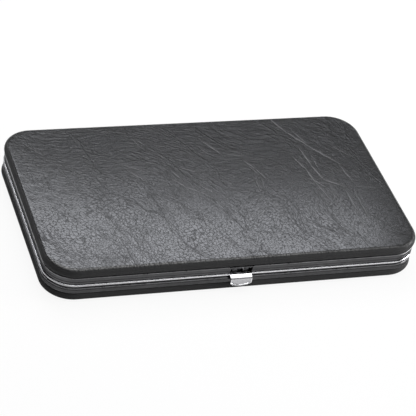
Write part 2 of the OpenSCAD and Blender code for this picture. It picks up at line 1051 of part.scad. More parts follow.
module file_handle() {
    color("#1d1e20")
        translate([file_tail - handle_len, file_y, half_h + tray_z])
            difference() {
                linear_extrude(handle_t)
                    soft_box([0, -handle_w / 2], [handle_len, handle_w / 2], handle_r);
                translate([-over, -file_w / 2 - rivet_gap, (handle_t - file_t) / 2 - rivet_gap])
                    cube([handle_bury + over + rivet_gap, file_w + 2 * rivet_gap, file_t + 2 * rivet_gap]);
            }
}

module cuticle_pusher() {
    shaft = pusher_len - spoon_len;
    neck = spoon_len - spoon_w / 2 + over;
    color("#c8cacf")
        translate([pusher_tail, pusher_y, half_h + tray_z + pusher_r]) {
            rotate([0, -90, 0])
                cylinder(h = shaft, r = pusher_r);
            sphere(pusher_r);
            translate([-pusher_len + spoon_w / 2, 0, -pusher_r / 2])
                linear_extrude(pusher_r) {
                    circle(spoon_w / 2);
                    translate([0, -spoon_w / 2])
                        square([spoon_len / 3, spoon_w]);
                    polygon([
                        [spoon_len / 3, -spoon_w / 2],
                        [neck, -pusher_r * 0.8],
                        [neck, pusher_r * 0.8],
                        [spoon_len / 3, spoon_w / 2]
                    ]);
                }
        }
}

lower_cover();
lower_padding();
lower_board();
lower_frame();
mouth_rim();
lower_lining();
upper_cover();
upper_padding();
upper_board();
upper_frame();
upper_trim();
upper_lining();
left_hinge_base_leaf();
right_hinge_base_leaf();
left_hinge_lid_leaf();
right_hinge_lid_leaf();
left_hinge_pin();
right_hinge_pin();
base_leaf_rivets();
lid_leaf_rivets();
latch_lever();
latch_pin();
latch_bracket();
latch_spring();
latch_rivets();
left_elastic_band();
right_elastic_band();
scissors_loops();
scissors_fixed_half();
scissors_moving_half();
scissors_screw();
tweezers_lower_arm();
tweezers_upper_arm();
file_blade();
file_handle();
cuticle_pusher();
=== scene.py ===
from math import asin, atan2, copysign, cos, degrees, dist, exp, pi, radians, sin, sqrt

import bmesh
import bpy
from mathutils import Matrix, Vector, noise


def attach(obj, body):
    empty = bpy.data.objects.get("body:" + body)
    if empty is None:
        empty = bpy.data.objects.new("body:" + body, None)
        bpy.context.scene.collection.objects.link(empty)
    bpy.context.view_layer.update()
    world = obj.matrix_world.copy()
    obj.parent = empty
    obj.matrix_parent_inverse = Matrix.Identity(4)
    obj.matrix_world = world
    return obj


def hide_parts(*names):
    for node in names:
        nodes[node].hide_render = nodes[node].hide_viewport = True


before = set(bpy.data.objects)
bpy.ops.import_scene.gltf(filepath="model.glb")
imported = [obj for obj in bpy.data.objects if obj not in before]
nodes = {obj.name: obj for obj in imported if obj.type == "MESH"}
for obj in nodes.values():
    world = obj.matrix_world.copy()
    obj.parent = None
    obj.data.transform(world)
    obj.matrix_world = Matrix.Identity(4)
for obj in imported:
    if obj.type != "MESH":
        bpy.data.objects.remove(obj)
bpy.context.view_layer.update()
scene = bpy.context.scene
scene.view_settings.view_transform = "Standard"
mm = 0.001
print("frame loaded:", len(nodes), "nodes")

# the case's plan in mm: half width, half depth, corner radius, height of the mouth
plan = dict(halfX=70.25, halfY=40, corner=11, mouth=6.9)
spine = plan["halfX"] - plan["halfY"]  # half the length of the line along the middle that flat sides close on


class Wire:  # a node's output, so that sums on it are written in plain Python
    def __init__(self, graph, socket):
        self.graph, self.socket = graph, socket

    def other(self, name):  # another output of the same node
        return Wire(self.graph, self.socket.node.outputs[name])

    def calc(self, operation, *values):
        return self.graph.add("ShaderNodeMath", dict(operation=operation), dict(enumerate(values)))

    def __add__(self, other):
        return self.calc("ADD", self, other)

    def __sub__(self, other):
        return self.calc("SUBTRACT", self, other)

    def __rsub__(self, other):
        return self.calc("SUBTRACT", other, self)

    def __mul__(self, other):
        return self.calc("MULTIPLY", self, other)

    def __truediv__(self, other):
        return self.calc("DIVIDE", self, other)

    def __rtruediv__(self, other):
        return self.calc("DIVIDE", other, self)

    __radd__, __rmul__ = __add__, __mul__


class Graph:
    def __init__(self, tree):
        self.tree = tree

    def add(self, kind, settings=None, sockets=None, out=0):  # a list puts several links into one socket
        made = self.tree.nodes.new(kind)
        for name, value in (settings or {}).items():
            setattr(made, name, value)
        for name, value in (sockets or {}).items():
            for one in value if isinstance(value, list) else [value]:
                if isinstance(one, Wire):
                    self.tree.links.new(one.socket, made.inputs[name])
                else:
                    made.inputs[name].default_value = one
        return Wire(self, made.outputs[out]) if made.outputs else None

    def vector(self, operation, a, b):
        return self.add("ShaderNodeVectorMath", dict(operation=operation), {0: a, 1: b})

    def scaled(self, a, factor):
        return self.add("ShaderNodeVectorMath", dict(operation="SCALE"), {0: a, 3: factor})

    def millimetres(self):  # place on the piece, in mm
        return self.scaled(self.add("ShaderNodeTexCoord", out="Object"), 1000)

    def turned(self, place, angle, size):  # turns a pattern about Z, then sets the size of its cell
        return self.add("ShaderNodeMapping", dict(vector_type="TEXTURE"),
                        {"Vector": place, "Rotation": (0, 0, radians(angle)), "Scale": size})

    def cloud(self, place, size, detail=2, rough=0.5, out="Fac"):
        return self.add("ShaderNodeTexNoise", None,
                        {"Vector": place, "Scale": 1 / size, "Detail": detail, "Roughness": rough}, out)

    def drifted(self, place, size, amount, detail=1):  # bends the space that a pattern lies in
        push = self.vector("SUBTRACT", self.cloud(place, size, detail, out="Color"), (0.5, 0.5, 0.5))
        return self.vector("ADD", place, self.scaled(push, amount))

    def cracks(self, place, size=1):  # distance to the nearest edge between cells
        return self.add("ShaderNodeTexVoronoi", dict(feature="DISTANCE_TO_EDGE"), {"Vector": place, "Scale": 1 / size})

    def part(self, place, axis):
        return self.add("ShaderNodeSeparateXYZ", None, {0: place}, "XYZ".index(axis))

    def step(self, value, low, high, start=0, end=1):
        return self.add("ShaderNodeMapRange", dict(interpolation_type="SMOOTHSTEP"),
                        {0: value, 1: low, 2: high, 3: start, 4: end})

    def blend(self, a, b, share):
        return self.add("ShaderNodeMix", dict(data_type="RGBA"), {0: share, 6: a, 7: b}, 2)

    def size(self, value):  # without its sign
        return value.calc("ABSOLUTE", value)

    def zigzag(self, value):  # 0 to 0.5 and back within each unit
        return value.calc("PINGPONG", value, 0.5)

    def relief(self, height):  # height is in mm
        return self.add("ShaderNodeBump", None, {"Distance": mm, "Height": height})

    def backdrop(self, plain, white, shown, mirrored):  # how white it looks to the camera and in metal or glass
        camera = self.add("ShaderNodeLightPath", out="Is Camera Ray")
        mirror = camera.other("Is Glossy Ray") + camera.other("Is Transmission Ray")
        return self.add("ShaderNodeMixShader", None, {0: camera * shown + mirror * mirrored, 1: plain, 2: white})


def clearedTree(owner):  # of a material or the world
    owner.use_nodes = True
    owner.node_tree.nodes.clear()
    return Graph(owner.node_tree)


def material(name, paint, look, **even):  # even: what is the same all over; the rest is painted
    made = bpy.data.materials.new(name)
    g = clearedTree(made)
    sockets = {label.replace("_", " "): value for label, value in even.items()}
    sockets.update(paint(g, look))
    g.add("ShaderNodeOutputMaterial", None, {0: g.add("ShaderNodeBsdfPrincipled", None, sockets)})
    return made


def grey(level):  # slightly cool
    return (level, level, level * 1.03, 1)


def coat(g, colours, share, rough, height, **more):  # what a paint function gives; colours are two greys or colours
    first, second = (grey(c) if isinstance(c, (int, float)) else c for c in colours)
    more = {label.replace("_", " "): value for label, value in more.items()}
    return {"Base Color": g.blend(first, second, share), "Roughness": rough, "Normal": g.relief(height), **more}


leatherLook = dict(
    base=0.016, shadedCrack=0.005, side=0.024, wearAndHighlight=0.10,  # greys: pebbles, painted shade in the cracks between them, sides, and the tops of the creases, rubbed lighter and painted as a highlight
    swirl=(44, 30), stray=(7, 2.6),  # size and reach of the slow and the quick bends in the grain, mm
    pebble=(1.3, 0.9, 1.0), pebbleAngle=-20, pebbleDepth=0.052, pebbleCrack=0.15,
    wrinkle=(7.5, 1.5, 3), wrinkleAngle=-12, wrinkleDepth=0.085, wrinkleCrack=0.24,
    strand=(15, 2.0, 6), strandAngle=-56, strandDepth=0.10, strandCrack=0.16,
    vein=(46, 15, 20), veinAngle=-54, veinDepth=0.13, veinCrack=0.03, veinReach=0.26, veinPatch=15, veined=(0.36, 0.58),
    creaseWide=1.25, creaseDepth=0.28, creaseBend=(4, 1.1), creaseReach=0.8, creaseTall=5,
    crest=(0.18, 0.60), flank=(0, 0.4),  # how far up a crease its top and its dented sides begin and are full
    swell=0.12, swellSize=17, pores=0.010, poreSize=0.25,
    change=(10, -16), changeBend=(26, 50),  # Y where pebbles take over from wrinkles, and how that line is bent
    smooth=(6.25, 6.8),  # heights from the mouth between which the smooth sides turn into the grained top
    rough=(0.33, 0.60), sideRough=0.82, gloss=(0.90, 0.25), sideGloss=0.08)

creases = [  # long creases in the lid's leather: x and y of each end in mm, and how strong it is
    (36.5, 39, 40.6, 29.6, 1.0), (40.2, 30.4, 46.4, 20.6, 1.0), (45.6, 21.6, 54.8, 9.5, 1.0),
    (54.2, 10.6, 56.6, -3, 0.7), (42.6, 32, 46.2, 22, 0.7), (54.2, 22, 62.4, 12, 0.6), (42, 19.8, 43.4, 9, 0.9),
    (43.1, 10, 45, 0.4, 0.9), (44.4, 1.2, 52.4, -4.4, 0.9), (51.6, -4, 67.3, -6, 0.6), (37.6, 14.8, 40.6, 6.6, 0.9),
    (40.2, 7.4, 41.1, -1, 0.9), (41, 0, 44.2, -13.8, 0.8), (45, 15.6, 45.6, 5.2, 0.6), (39.5, 2.4, 45.2, -5, 0.7),
    (44.9, -4.2, 48, -18, 0.7), (51.4, -3.4, 52, -19.6, 0.8), (54.8, -7, 55, -25.4, 0.8), (17.2, 14.6, 20.8, 8.8, 0.8),
    (20.4, 9.6, 22.9, 2, 0.8), (18.9, 4.6, 18.3, -6, 0.6), (-20.8, 31, -17.8, 26, 0.7), (-17, 26.6, -6.6, 24.6, 0.5),
    (2.2, 24.2, 6, 18, 0.6), (4.4, 28.4, 10.3, 18, 0.9), (9.8, 18.6, 21, 16.6, 0.6), (-31.6, 17, -20, 9.6, 0.7),
    (-29.6, 13.8, -22.2, 3.6, 0.7), (-12.4, 11.2, -9.2, 4, 0.9), (-13.4, 6.2, -9.4, 0.8, 1.0),
    (-9.9, 1.2, -4.6, -2.3, 1.0), (-5.2, -1.8, -0.8, -6.8, 1.0), (-1.1, -6.2, 1.8, -15.6, 0.8),
    (-9, 12.7, -2.8, 9, 0.8), (-4.3, 2, 0.8, -4, 0.8), (-66, 35, -56, 21, 0.6), (-56.6, 22.4, -48, -1, 0.5),
    (-23.4, 35, -18.6, 22.4, 0.5), (-53.7, -26, -43, -38, 0.5), (-65.4, -16, -56.8, -34, 0.5),
    (-44, -25.6, -41.2, -18.3, 0.3), (-41.4, -18.9, -34.8, -8.8, 0.26), (-35.2, -9.4, -28.6, -2.8, 0.22),
    (-24.4, -0.7, -22.4, -9.2, 0.3), (-22.4, -8.4, -24.9, -17, 0.3), (-24.6, -16.4, -31, -24.4, 0.26),
    (-30.6, -23.8, -38.7, -30.7, 0.24), (17.7, 13, 21.4, 3.8, 0.6), (21.3, 4.6, 20.2, -4.6, 0.6),
    (20.5, -4, 13, -12.3, 0.6), (-65.5, -28.8, -54.7, -31, 0.6), (-55.2, -30.8, -48.8, -34, 0.6),
    (-49.3, -33.7, -42.1, -37.5, 0.6), (-14, -8.5, -10.8, -19.1, 0.6), (-11, -18.5, -8.5, -29.6, 0.6),
    (39.1, -6.5, 41, -19.6, 0.6), (40.9, -19, 44.4, -33.3, 0.6), (51.2, -14.6, 52, -31.1, 0.6),
    (10.2, -19.6, 19.4, -12.5, 0.6), (18.9, -12.6, 26, -14.9, 0.5), (-65.9, 20, -58.2, 21.7, 0.5),
    (-58.7, 21.8, -51.4, 16.4, 0.5),
]


def creased(g, place, s):  # 1 along the middle of each crease, falling to 0 at its sides and ends
    bent = g.drifted(place, *s["creaseBend"], 2)
    whole = None
    for x0, y0, x1, y1, strength in creases:
        # a long thin ellipsoid round the crease, tall enough to reach the lid and to miss the tray
        spot = g.add("ShaderNodeMapping", dict(vector_type="TEXTURE"),
                     {"Vector": bent, "Location": ((x0 + x1) / 2, (y0 + y1) / 2, 2 * plan["mouth"]),
                      "Rotation": (0, 0, atan2(y1 - y0, x1 - x0)),
                      "Scale": (dist((x0, y0), (x1, y1)) * s["creaseReach"], s["creaseWide"] / 2, s["creaseTall"])})
        one = g.add("ShaderNodeTexGradient", dict(gradient_type="SPHERICAL"), {"Vector": spot}, "Fac") * strength
        whole = one if whole is None else whole.calc("MAXIMUM", whole, one)
    return whole


def paintLeather(g, s):
    place = g.millimetres()
    near = g.drifted(g.drifted(place, *s["swirl"]), *s["stray"], 2)
    # coarser pebbles towards the front, finer wrinkles towards the back
    size, reach = s["changeBend"]
    front = g.step(g.part(place, "Y") + (g.cloud(place, size, 1) - 0.5) * reach, *s["change"])
    back, coarse = 1 - front, 0.6 + 0.4 * front
    # the leather is drawn smooth and dull where it is stretched round the sides
    lie = g.step(g.size(g.part(place, "Z") - plan["mouth"]), *s["smooth"])
    edge = {kind: g.cracks(g.turned(near, s[kind + "Angle"], s[kind]))
            for kind in ("pebble", "wrinkle", "strand", "vein")}
    pebble = g.step(edge["pebble"], 0, s["pebbleCrack"])
    wrinkle = g.step(edge["wrinkle"], 0, s["wrinkleCrack"])
    vein = (1 - g.step(edge["vein"], 0, s["veinCrack"])) * g.step(g.cloud(place, s["veinPatch"], 1), *s["veined"])
    strand = 1 - g.step(edge["strand"], 0, s["strandCrack"])  # these run beside the veins
    strand = strand * (1 - g.step(edge["vein"], s["veinCrack"], s["veinReach"]))
    fold = creased(g, place, s)
    crest, flank = g.step(fold, *s["crest"]), g.step(fold, *s["flank"])
    height = (pebble * (s["pebbleDepth"] * coarse) + wrinkle * (s["wrinkleDepth"] * (1 - 0.75 * front))
              + strand * s["strandDepth"] + vein * s["veinDepth"] + g.cloud(place, s["swellSize"], 2) * s["swell"]
              + crest * s["creaseDepth"] - flank * (s["creaseDepth"] * 0.4)
              + g.cloud(place, s["poreSize"], 1) * s["pores"])
    # 1 on top of the grain and 0 in its cracks; it also falls in the veins and strands towards the front and down the
    # sides of the creases, painting shade into the colour and the coat there
    top = pebble * coarse + back * 0.4 - (1 - wrinkle) * back * 0.38
    top = top * (1 - 0.5 * front * strand) * (1 - 0.5 * front * vein) * (1 - 0.6 * (flank - crest))
    # the tops of the creases are painted lighter, partly wear and partly a painted highlight, most of all towards the
    # back
    grain = g.blend(g.blend(grey(s["shadedCrack"]), grey(s["base"]), top), grey(s["wearAndHighlight"]), crest * (0.45 + 0.55 * back))
    rough = g.step(top, 0, 1, s["rough"][1], s["rough"][0]) * lie + (1 - lie) * s["sideRough"]
    gloss = g.step(top, 0, 1, s["gloss"][1], s["gloss"][0]) * (s["sideGloss"] + (1 - s["sideGloss"]) * lie)
    return coat(g, (grain, s["side"]), 1 - lie, rough, height * (0.25 + 0.75 * lie), Coat_Weight=gloss)


# lip and step are the heights from the mouth of the rubbed edges, which are lightened by wear and by a painted
# highlight; notch and left are where the lines change along X
lacquerLook = dict(black=0.085, dull=0.110, wearAndHighlight=0.62, lip=3.2, step=1.25, line=0.13, notch=4.7, left=69,
                   rough=(0.14, 0.22), dullness=0.22, depth=0.002)


def paintLacquer(g, s):
    place = g.millimetres()
    wear = g.step(g.cloud(place, 6, 4, 0.7), 0.45, 0.75)
    # rubbed bright along the frames' two outer edges, partly wear and partly a painted highlight, apart from the notch
    # over the lift tab
    rise = g.size(g.part(place, "Z") - plan["mouth"])
    lip = g.step(rise, s["lip"] - s["line"], s["lip"])
    ledge = g.step(g.size(rise - s["step"]), s["line"], s["line"] / 3)
    rubbedAndHighlit = lip.calc("MAXIMUM", lip, ledge * 0.7) * g.step(g.cloud(place, 3, 3), 0.25, 0.55, 0.35, 1)
    across = g.part(place, "X")
    rubbedAndHighlit = rubbedAndHighlit * g.step(g.size(across), s["notch"] - 0.2, s["notch"])
    bright = rubbedAndHighlit * g.step(across * -1, s["left"] - 8, s["left"], 0.35, 1)  # painted highlight, brightest along the left side where the light falls
    black = g.blend(grey(s["black"]), grey(s["dull"]), wear)
    rough = g.step(g.cloud(place, 2.5, 3), 0.3, 0.7, *s["rough"]) + rubbedAndHighlit * s["dullness"]
    return coat(g, (black, s["wearAndHighlight"]), bright, rough, g.cloud(place, 0.9, 1) * s["depth"])


# metals: two greys in slow patches, and fine marks that are turned and drawn out along the piece
plateLook = dict(greys=(0.72, 0.84), patch=5, turn=8, grain=(9, 0.12, 0.12), detail=2, sharpness=0.5,
                 marks=(0.35, 0.7), rough=(0.10, 0.20), depth=0.0008)
steelLook = dict(greys=(0.50, 0.64), patch=4, turn=0, grain=(12, 0.1, 0.1), detail=3, sharpness=0.6,
                 marks=(0.3, 0.7), rough=(0.24, 0.38), depth=0.004)
instrumentLook = dict(steelLook, grain=(7, 0.16, 0.16), rough=(0.14, 0.26), depth=0.0012)


def paintMetal(g, s):
    place = g.millimetres()
    rub = g.cloud(g.turned(place, s["turn"], s["grain"]), 1, s["detail"], s["sharpness"])
    return coat(g, s["greys"], g.cloud(place, s["patch"], 2), g.step(rub, *s["marks"], *s["rough"]), rub * s["depth"])


gritLook = dict(greys=(0.20, 0.55), cell=(0.42, 0.42, 0.42), cuts=(62, -58), rough=(0.38, 0.6), depth=0.10)


def paintGrit(g, s):  # cross-cut file teeth
    place = g.millimetres()
    first, second = (g.zigzag(g.part(g.turned(place, angle, s["cell"]), "X")) for angle in s["cuts"])
    teeth = first * second * 4
    rough = g.step(g.cloud(place, 0.2, 2), 0.3, 0.7, *s["rough"])
    return coat(g, s["greys"], g.step(teeth, 0.1, 0.8), rough, teeth * s["depth"])


handleLook = dict(greys=(0.010, 0.016), rough=(0.16, 0.30), depth=0.002)


def paintHandle(g, s):
    place = g.millimetres()
    rough = g.step(g.cloud(place, 1.1, 3), 0.3, 0.7, *s["rough"])
    return coat(g, s["greys"], g.cloud(place, 3, 2), rough, g.cloud(place, 0.8, 1) * s["depth"])


suedeLook = dict(greys=(0.022, 0.046), nap=0.28, brushed=9, rough=(0.82, 1.0), depth=0.07)


def paintSuede(g, s):
    place = g.millimetres()
    nap = g.cloud(g.drifted(place, 3, 2), s["nap"], 3, 0.7)
    brushed = g.step(g.cloud(g.drifted(place, 12, 9), s["brushed"], 3), 0.35, 0.68)
    return coat(g, s["greys"], brushed * 0.7 + nap * 0.3, g.step(nap, 0.2, 0.8, *s["rough"]), nap * s["depth"])


elasticLook = dict(greys=(0.006, 0.028), cord=0.42, pick=0.30, rough=(0.95, 0.7), cordDepth=0.10, pickDepth=0.07)


def paintElastic(g, s):  # corded weave that follows the band: U along it and V across it, in mm
    place = g.add("ShaderNodeUVMap", dict(uv_map="weave"))
    along, side = g.part(place, "X"), g.part(place, "Y")
    picks = g.zigzag(along / s["pick"] + side / (2 * s["cord"]))
    ridge = g.step(g.zigzag(side / s["cord"]), 0.02, 0.38)
    return coat(g, s["greys"], ridge * (0.6 + picks * 0.8), g.step(ridge, 0, 1, *s["rough"]),
                ridge * s["cordDepth"] + picks * s["pickDepth"])


threadLook = dict(greys=(0.07, 0.16), strand=(0.6, 0.12, 0.2), turn=40, rough=(0.6, 0.85), depth=0.03)


def paintThread(g, s):
    twist = g.cloud(g.turned(g.millimetres(), s["turn"], s["strand"]), 1, 2)
    return coat(g, s["greys"], twist, g.step(twist, 0.3, 0.7, *s["rough"]), twist * s["depth"])


foamLook = dict(colours=((0.42, 0.38, 0.28, 1), (0.72, 0.68, 0.56, 1)), cell=0.5, rough=(1.0, 0.88), depth=0.10)


def paintFoam(g, s):
    cells = g.step(g.cracks(g.millimetres(), s["cell"]), 0.02, 0.3)
    return coat(g, s["colours"], cells, g.step(cells, 0, 1, *s["rough"]), (1 - cells) * -s["depth"])


boardLook = dict(pulp=((0.22, 0.16, 0.10, 1), (0.36, 0.28, 0.19, 1)), fleck=(0.10, 0.07, 0.05, 1), rough=(0.85, 0.97),
                 depth=0.04)


def paintBoard(g, s):
    place = g.millimetres()
    fibre = g.cloud(g.drifted(place, 2, 1.5), 0.4, 4, 0.7)
    fleck = g.step(g.cloud(place, 0.9, 2), 0.6, 0.72)
    rough = g.step(fibre, 0.2, 0.8, *s["rough"])
    return coat(g, (g.blend(*s["pulp"], fibre), s["fleck"]), fleck * 0.6, rough, fibre * s["depth"])


# the lift tab: a sheet with a ledge, a fold and a dished thumb pad, two arms that curl round the pin, and a tooth;
# shade is the height of the painted shade line under the fold
tabShape = dict(front=-41.9, width=8.0, thickness=0.6, top=7.35, droop=0.80, fold=0.45, low=3.15, curve=0.9, rim=0.34,
                dish=0.3, wall=0.16, shade=0.32, armIn=1.2, armOut=3.1, pin=(-38.5, 9.1), curl=0.85, toothHalf=1.8,
                edge=0.1, armEdge=0.08, bright=0.86, satin=0.56, foldShade=0.10)


def paintTab(g, s):  # polished ledge and rim, a line of painted shade under the fold and a satin thumb pad
    place = g.millimetres()
    half, down = s["width"] / 2, s["top"] - s["droop"] - s["fold"]
    x, z = g.part(place, "X"), g.part(place, "Z")
    face = g.step(g.part(place, "Y"), s["front"] + 0.7, s["front"] + 0.5)
    aside = half - g.size(x)
    above = z - (x * x * (s["curve"] / half ** 2) + s["low"])
    pad = g.step(aside.calc("MINIMUM", aside, above), s["rim"] + 0.02, s["rim"] + 0.2)
    pad = pad * g.step(z, down + 0.05, down - 0.05) * face
    # painted shade: a dark band in the colour just under the fold
    line = g.step(g.size(z - (down + s["shade"])), 0.30, 0.15) * face
    rub = g.cloud(g.turned(place, 4, (5, 0.1, 0.1)), 1, 2)
    metal = g.blend(grey(s["bright"]), grey(s["satin"]), pad)
    return coat(g, (metal, s["foldShade"]), line * 0.9, g.step(rub, 0.35, 0.7, 0.10, 0.18) + pad * 0.16, rub * 0.0012)


finish = dict(
    leather=material("grainedLeather", paintLeather, leatherLook, IOR=1.5, Specular_IOR_Level=0.3, Coat_Roughness=0.19),
    lacquer=material("blackLacquer", paintLacquer, lacquerLook, Metallic=1, Specular_Tint=(0.42, 0.42, 0.42, 1)),
    plate=material("nickelPlate", paintMetal, plateLook, Metallic=1),
    tab=material("tabNickel", paintTab, tabShape, Metallic=1),
    steel=material("satinSteel", paintMetal, steelLook, Metallic=1),
    instrument=material("instrumentSteel", paintMetal, instrumentLook, Metallic=1),
    grit=material("fileTeeth", paintGrit, gritLook, Metallic=1),
    handle=material("glossBlackHandle", paintHandle, handleLook, Coat_Weight=0.3, Coat_Roughness=0.12),
    suede=material("suedeLining", paintSuede, suedeLook, Sheen_Weight=0.35, Sheen_Roughness=0.4),
    elastic=material("cordedElastic", paintElastic, elasticLook, Sheen_Weight=0.15),
    thread=material("sewingThread", paintThread, threadLook),
    foam=material("foamSheet", paintFoam, foamLook),
    board=material("pressedBoard", paintBoard, boardLook),
)
print("finishes ready:", len(finish))


def added(name, data):
    made = bpy.data.objects.new(name, data)
    scene.collection.objects.link(made)
    return made


def inMetres(*values):
    return tuple(v * mm for v in values)


def shade(mesh, sharp):  # smooth, apart from the edges that turn by more than this angle
    mesh.polygons.foreach_set("use_smooth", [True] * len(mesh.polygons))
    mesh.set_sharp_from_angle(angle=radians(sharp))


def tidy(mesh, sharp):
    merge = 0.002 * mm
    work = bmesh.new()
    work.from_mesh(mesh)
    bmesh.ops.remove_doubles(work, verts=work.verts, dist=merge)
    bmesh.ops.dissolve_degenerate(work, edges=work.edges, dist=merge)
    bmesh.ops.recalc_face_normals(work, faces=work.faces)
    work.to_mesh(mesh)
    work.free()
    shade(mesh, sharp)


def pieceFrom(name, points, faces, look, sharp, weave=None):
    mesh = bpy.data.meshes.new(name)
    mesh.from_pydata([inMetres(*p) for p in points], [], faces)
    if weave:  # UV in mm, one pair for each point
        layer = mesh.uv_layers.new(name="weave")
        for loop in mesh.loops:
            layer.data[loop.index].uv = weave[loop.vertex_index]
    tidy(mesh, sharp)
    mesh.materials.append(finish[look])
    return added(name, mesh)


def evaluated(made):  # its mesh with all modifiers applied
    bpy.context.view_layer.update()
    return bpy.data.meshes.new_from_object(made.evaluated_get(bpy.context.evaluated_depsgraph_get()))


def settle(made):  # turns live modifiers into a plain mesh
    mesh = evaluated(made)
    made.modifiers.clear()
    made.data = mesh
    mesh.name = made.name
    return made


def joined(name, parts):
    points, faces, looks, slots = [], [], [], []
    for part in parts:
        base = len(points)
        points += [v.co.copy() for v in part.data.vertices]
        slots += [look for look in part.data.materials if look not in slots]
        for face in part.data.polygons:
            faces.append([base + v for v in face.vertices])
            looks.append(slots.index(part.data.materials[face.material_index]))
        bpy.data.objects.remove(part)
    mesh = bpy.data.meshes.new(name)
    mesh.from_pydata(points, [], faces)
    for look in slots:
        mesh.materials.append(look)
    mesh.polygons.foreach_set("material_index", looks)
    shade(mesh, 40)
    return added(name, mesh)


def carry(made, body, slot, *stands):  # the body it rides on, its slot, which is not used, and the CAD nodes that it stands for
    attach(made, body)
    if stands:
        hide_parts(*stands)
    return made


def thicken(made, thickness, offset=-1):
    skin = made.modifiers.new("thickness", "SOLIDIFY")
    skin.thickness, skin.offset = thickness * mm, offset
    return settle(made)


def soften(made, width, segments, angle):
    edge = made.modifiers.new("softEdges", "BEVEL")
    edge.width, edge.segments = width * mm, segments
    edge.limit_method, edge.angle_limit = "ANGLE", radians(angle)
    return settle(made)


def ring(straight, corner, extra=()):
    # places round the frames' outer faces with their outward directions, counterclockwise from the front left
    flatX, flatY = plan["halfX"] - plan["corner"], plan["halfY"] - plan["corner"]
    path = []
    for k, (sx, sy) in enumerate([(1, -1), (1, 1), (-1, 1), (-1, -1)]):
        turn = radians(-90 + 90 * k)
        out = Vector((cos(turn), sin(turn)))
        along = Vector((-out.y, out.x))
        length = 2 * (flatX if k % 2 == 0 else flatY)
        start = Vector((sx * flatX, sy * flatY)) + out * plan["corner"] - along * length
        count = round(length / straight)
        steps = [length * i / count for i in range(1, count + 1)]
        if k % 2 == 0:
            steps = sorted(set(round(s, 3) for s in steps) | set(round(x + length / 2, 3) for x in extra))
        path += [(start + along * s, out) for s in steps]
        for i in range(1, corner + 1):
            angle = turn + radians(90 * i / corner)
            way = Vector((cos(angle), sin(angle)))
            path.append((Vector((sx * flatX, sy * flatY)) + way * plan["corner"], way))
    return path


def swept(path, section):  # rows of points: one row for each place in the section (out, up) in mm
    return [[(p.x + n.x * out, p.y + n.y * out, up) for p, n in path] for out, up in section]


def closing(edge, steps, lift=lambda x, y: 0):  # rows that close an outline on the line along its middle
    rows = []
    for t in steps:
        places = [(x + (max(-spine, min(spine, x)) - x) * t, y * (1 - t), z) for x, y, z in edge]
        rows.append([(x, y, z + lift(x, y)) for x, y, z in places])
    return rows


def crowned(crown, reach, power):  # full height in the middle, none at this half width and half depth
    return lambda x, y: crown * (1 - (x / reach[0]) ** power) * (1 - (y / reach[1]) ** 2)


def waved(rows, above, fade, amount, size, seed):  # a cloth's rows past this height aren't quite even
    for row in rows:
        for c, (x, y, z) in enumerate(row):
            if z > above:
                wave = noise.noise(Vector((x / size, y / size, seed)))
                row[c] = (x, y, z + amount * wave * min(1, (z - above) / fade))


def skinFaces(rows, columns, closed=True):
    faces = []
    for r in range(rows - 1):
        for c in range(columns if closed else columns - 1):
            d = (c + 1) % columns
            faces.append([r * columns + c, r * columns + d, (r + 1) * columns + d, (r + 1) * columns + c])
    return faces


def arc(centre, radius, start, end, count):
    angles = [radians(start + (end - start) * i / count) for i in range(count + 1)]
    return [(centre[0] + radius * cos(a), centre[1] + radius * sin(a)) for a in angles]


def filleted(points, radius, count=6):  # rounds the inner corners of an open path
    made = [points[0]]
    for a, b, c in zip(points, points[1:], points[2:]):
        a, b, c = Vector(a), Vector(b), Vector(c)
        u, v = a - b, c - b
        r = min(radius, 0.48 * u.length, 0.48 * v.length)
        start, end = b + u.normalized() * r, b + v.normalized() * r
        made += [tuple(start.lerp(b, t).lerp(b.lerp(end, t), t)) for t in [i / count for i in range(count + 1)]]
    return made + [points[-1]]


def smoothLoop(points, corners, steps=5):  # closed curve through the points; those in corners stay sharp
    made, n = [], len(points)
    for i in range(n):
        p0, p1, p2, p3 = (Vector(points[(i + k) % n]) for k in (-1, 0, 1, 2))
        m1 = Vector((0, 0)) if i in corners else (p2 - p0) / 2
        m2 = Vector((0, 0)) if (i + 1) % n in corners else (p3 - p1) / 2
        for t in [s / steps for s in range(steps)]:
            made.append(tuple((2 * t**3 - 3 * t**2 + 1) * p1 + (t**3 - 2 * t**2 + t) * m1
                              + (3 * t**2 - 2 * t**3) * p2 + (t**3 - t**2) * m2))
    return made


def plate(name, outline, low, thickness, edge, look, at=(0, 0)):
    # flat plate with rounded edges: a filled 2D curve, made a mesh before its place is applied
    curve = bpy.data.curves.new(name, "CURVE")
    curve.dimensions, curve.fill_mode = "2D", "BOTH"
    curve.extrude, curve.bevel_depth = (thickness / 2 - edge) * mm, edge * mm
    curve.offset, curve.bevel_resolution = -edge * mm, 2
    line = curve.splines.new("POLY")
    line.points.add(len(outline) - 1)
    for point, (x, y) in zip(line.points, outline):
        point.co = (x * mm, y * mm, 0, 1)
    line.use_cyclic_u = True
    holder = added(name + "Outline", curve)
    mesh = evaluated(holder)
    bpy.data.objects.remove(holder)
    for vert in mesh.vertices:
        vert.co += Vector((at[0], at[1], low + thickness / 2)) * mm
    tidy(mesh, 50)
    mesh.materials.clear()
    mesh.materials.append(finish[look])
    return added(name, mesh)


def shell(name, rows, up, look):  # heights run up from the mouth in the lid and down in the tray, which rests flat
    points = [(x, y, max(0.0, plan["mouth"] + (z if up else -z))) for row in rows for x, y, z in row]
    return pieceFrom(name, points, skinFaces(len(rows), len(rows[0])), look, 60)


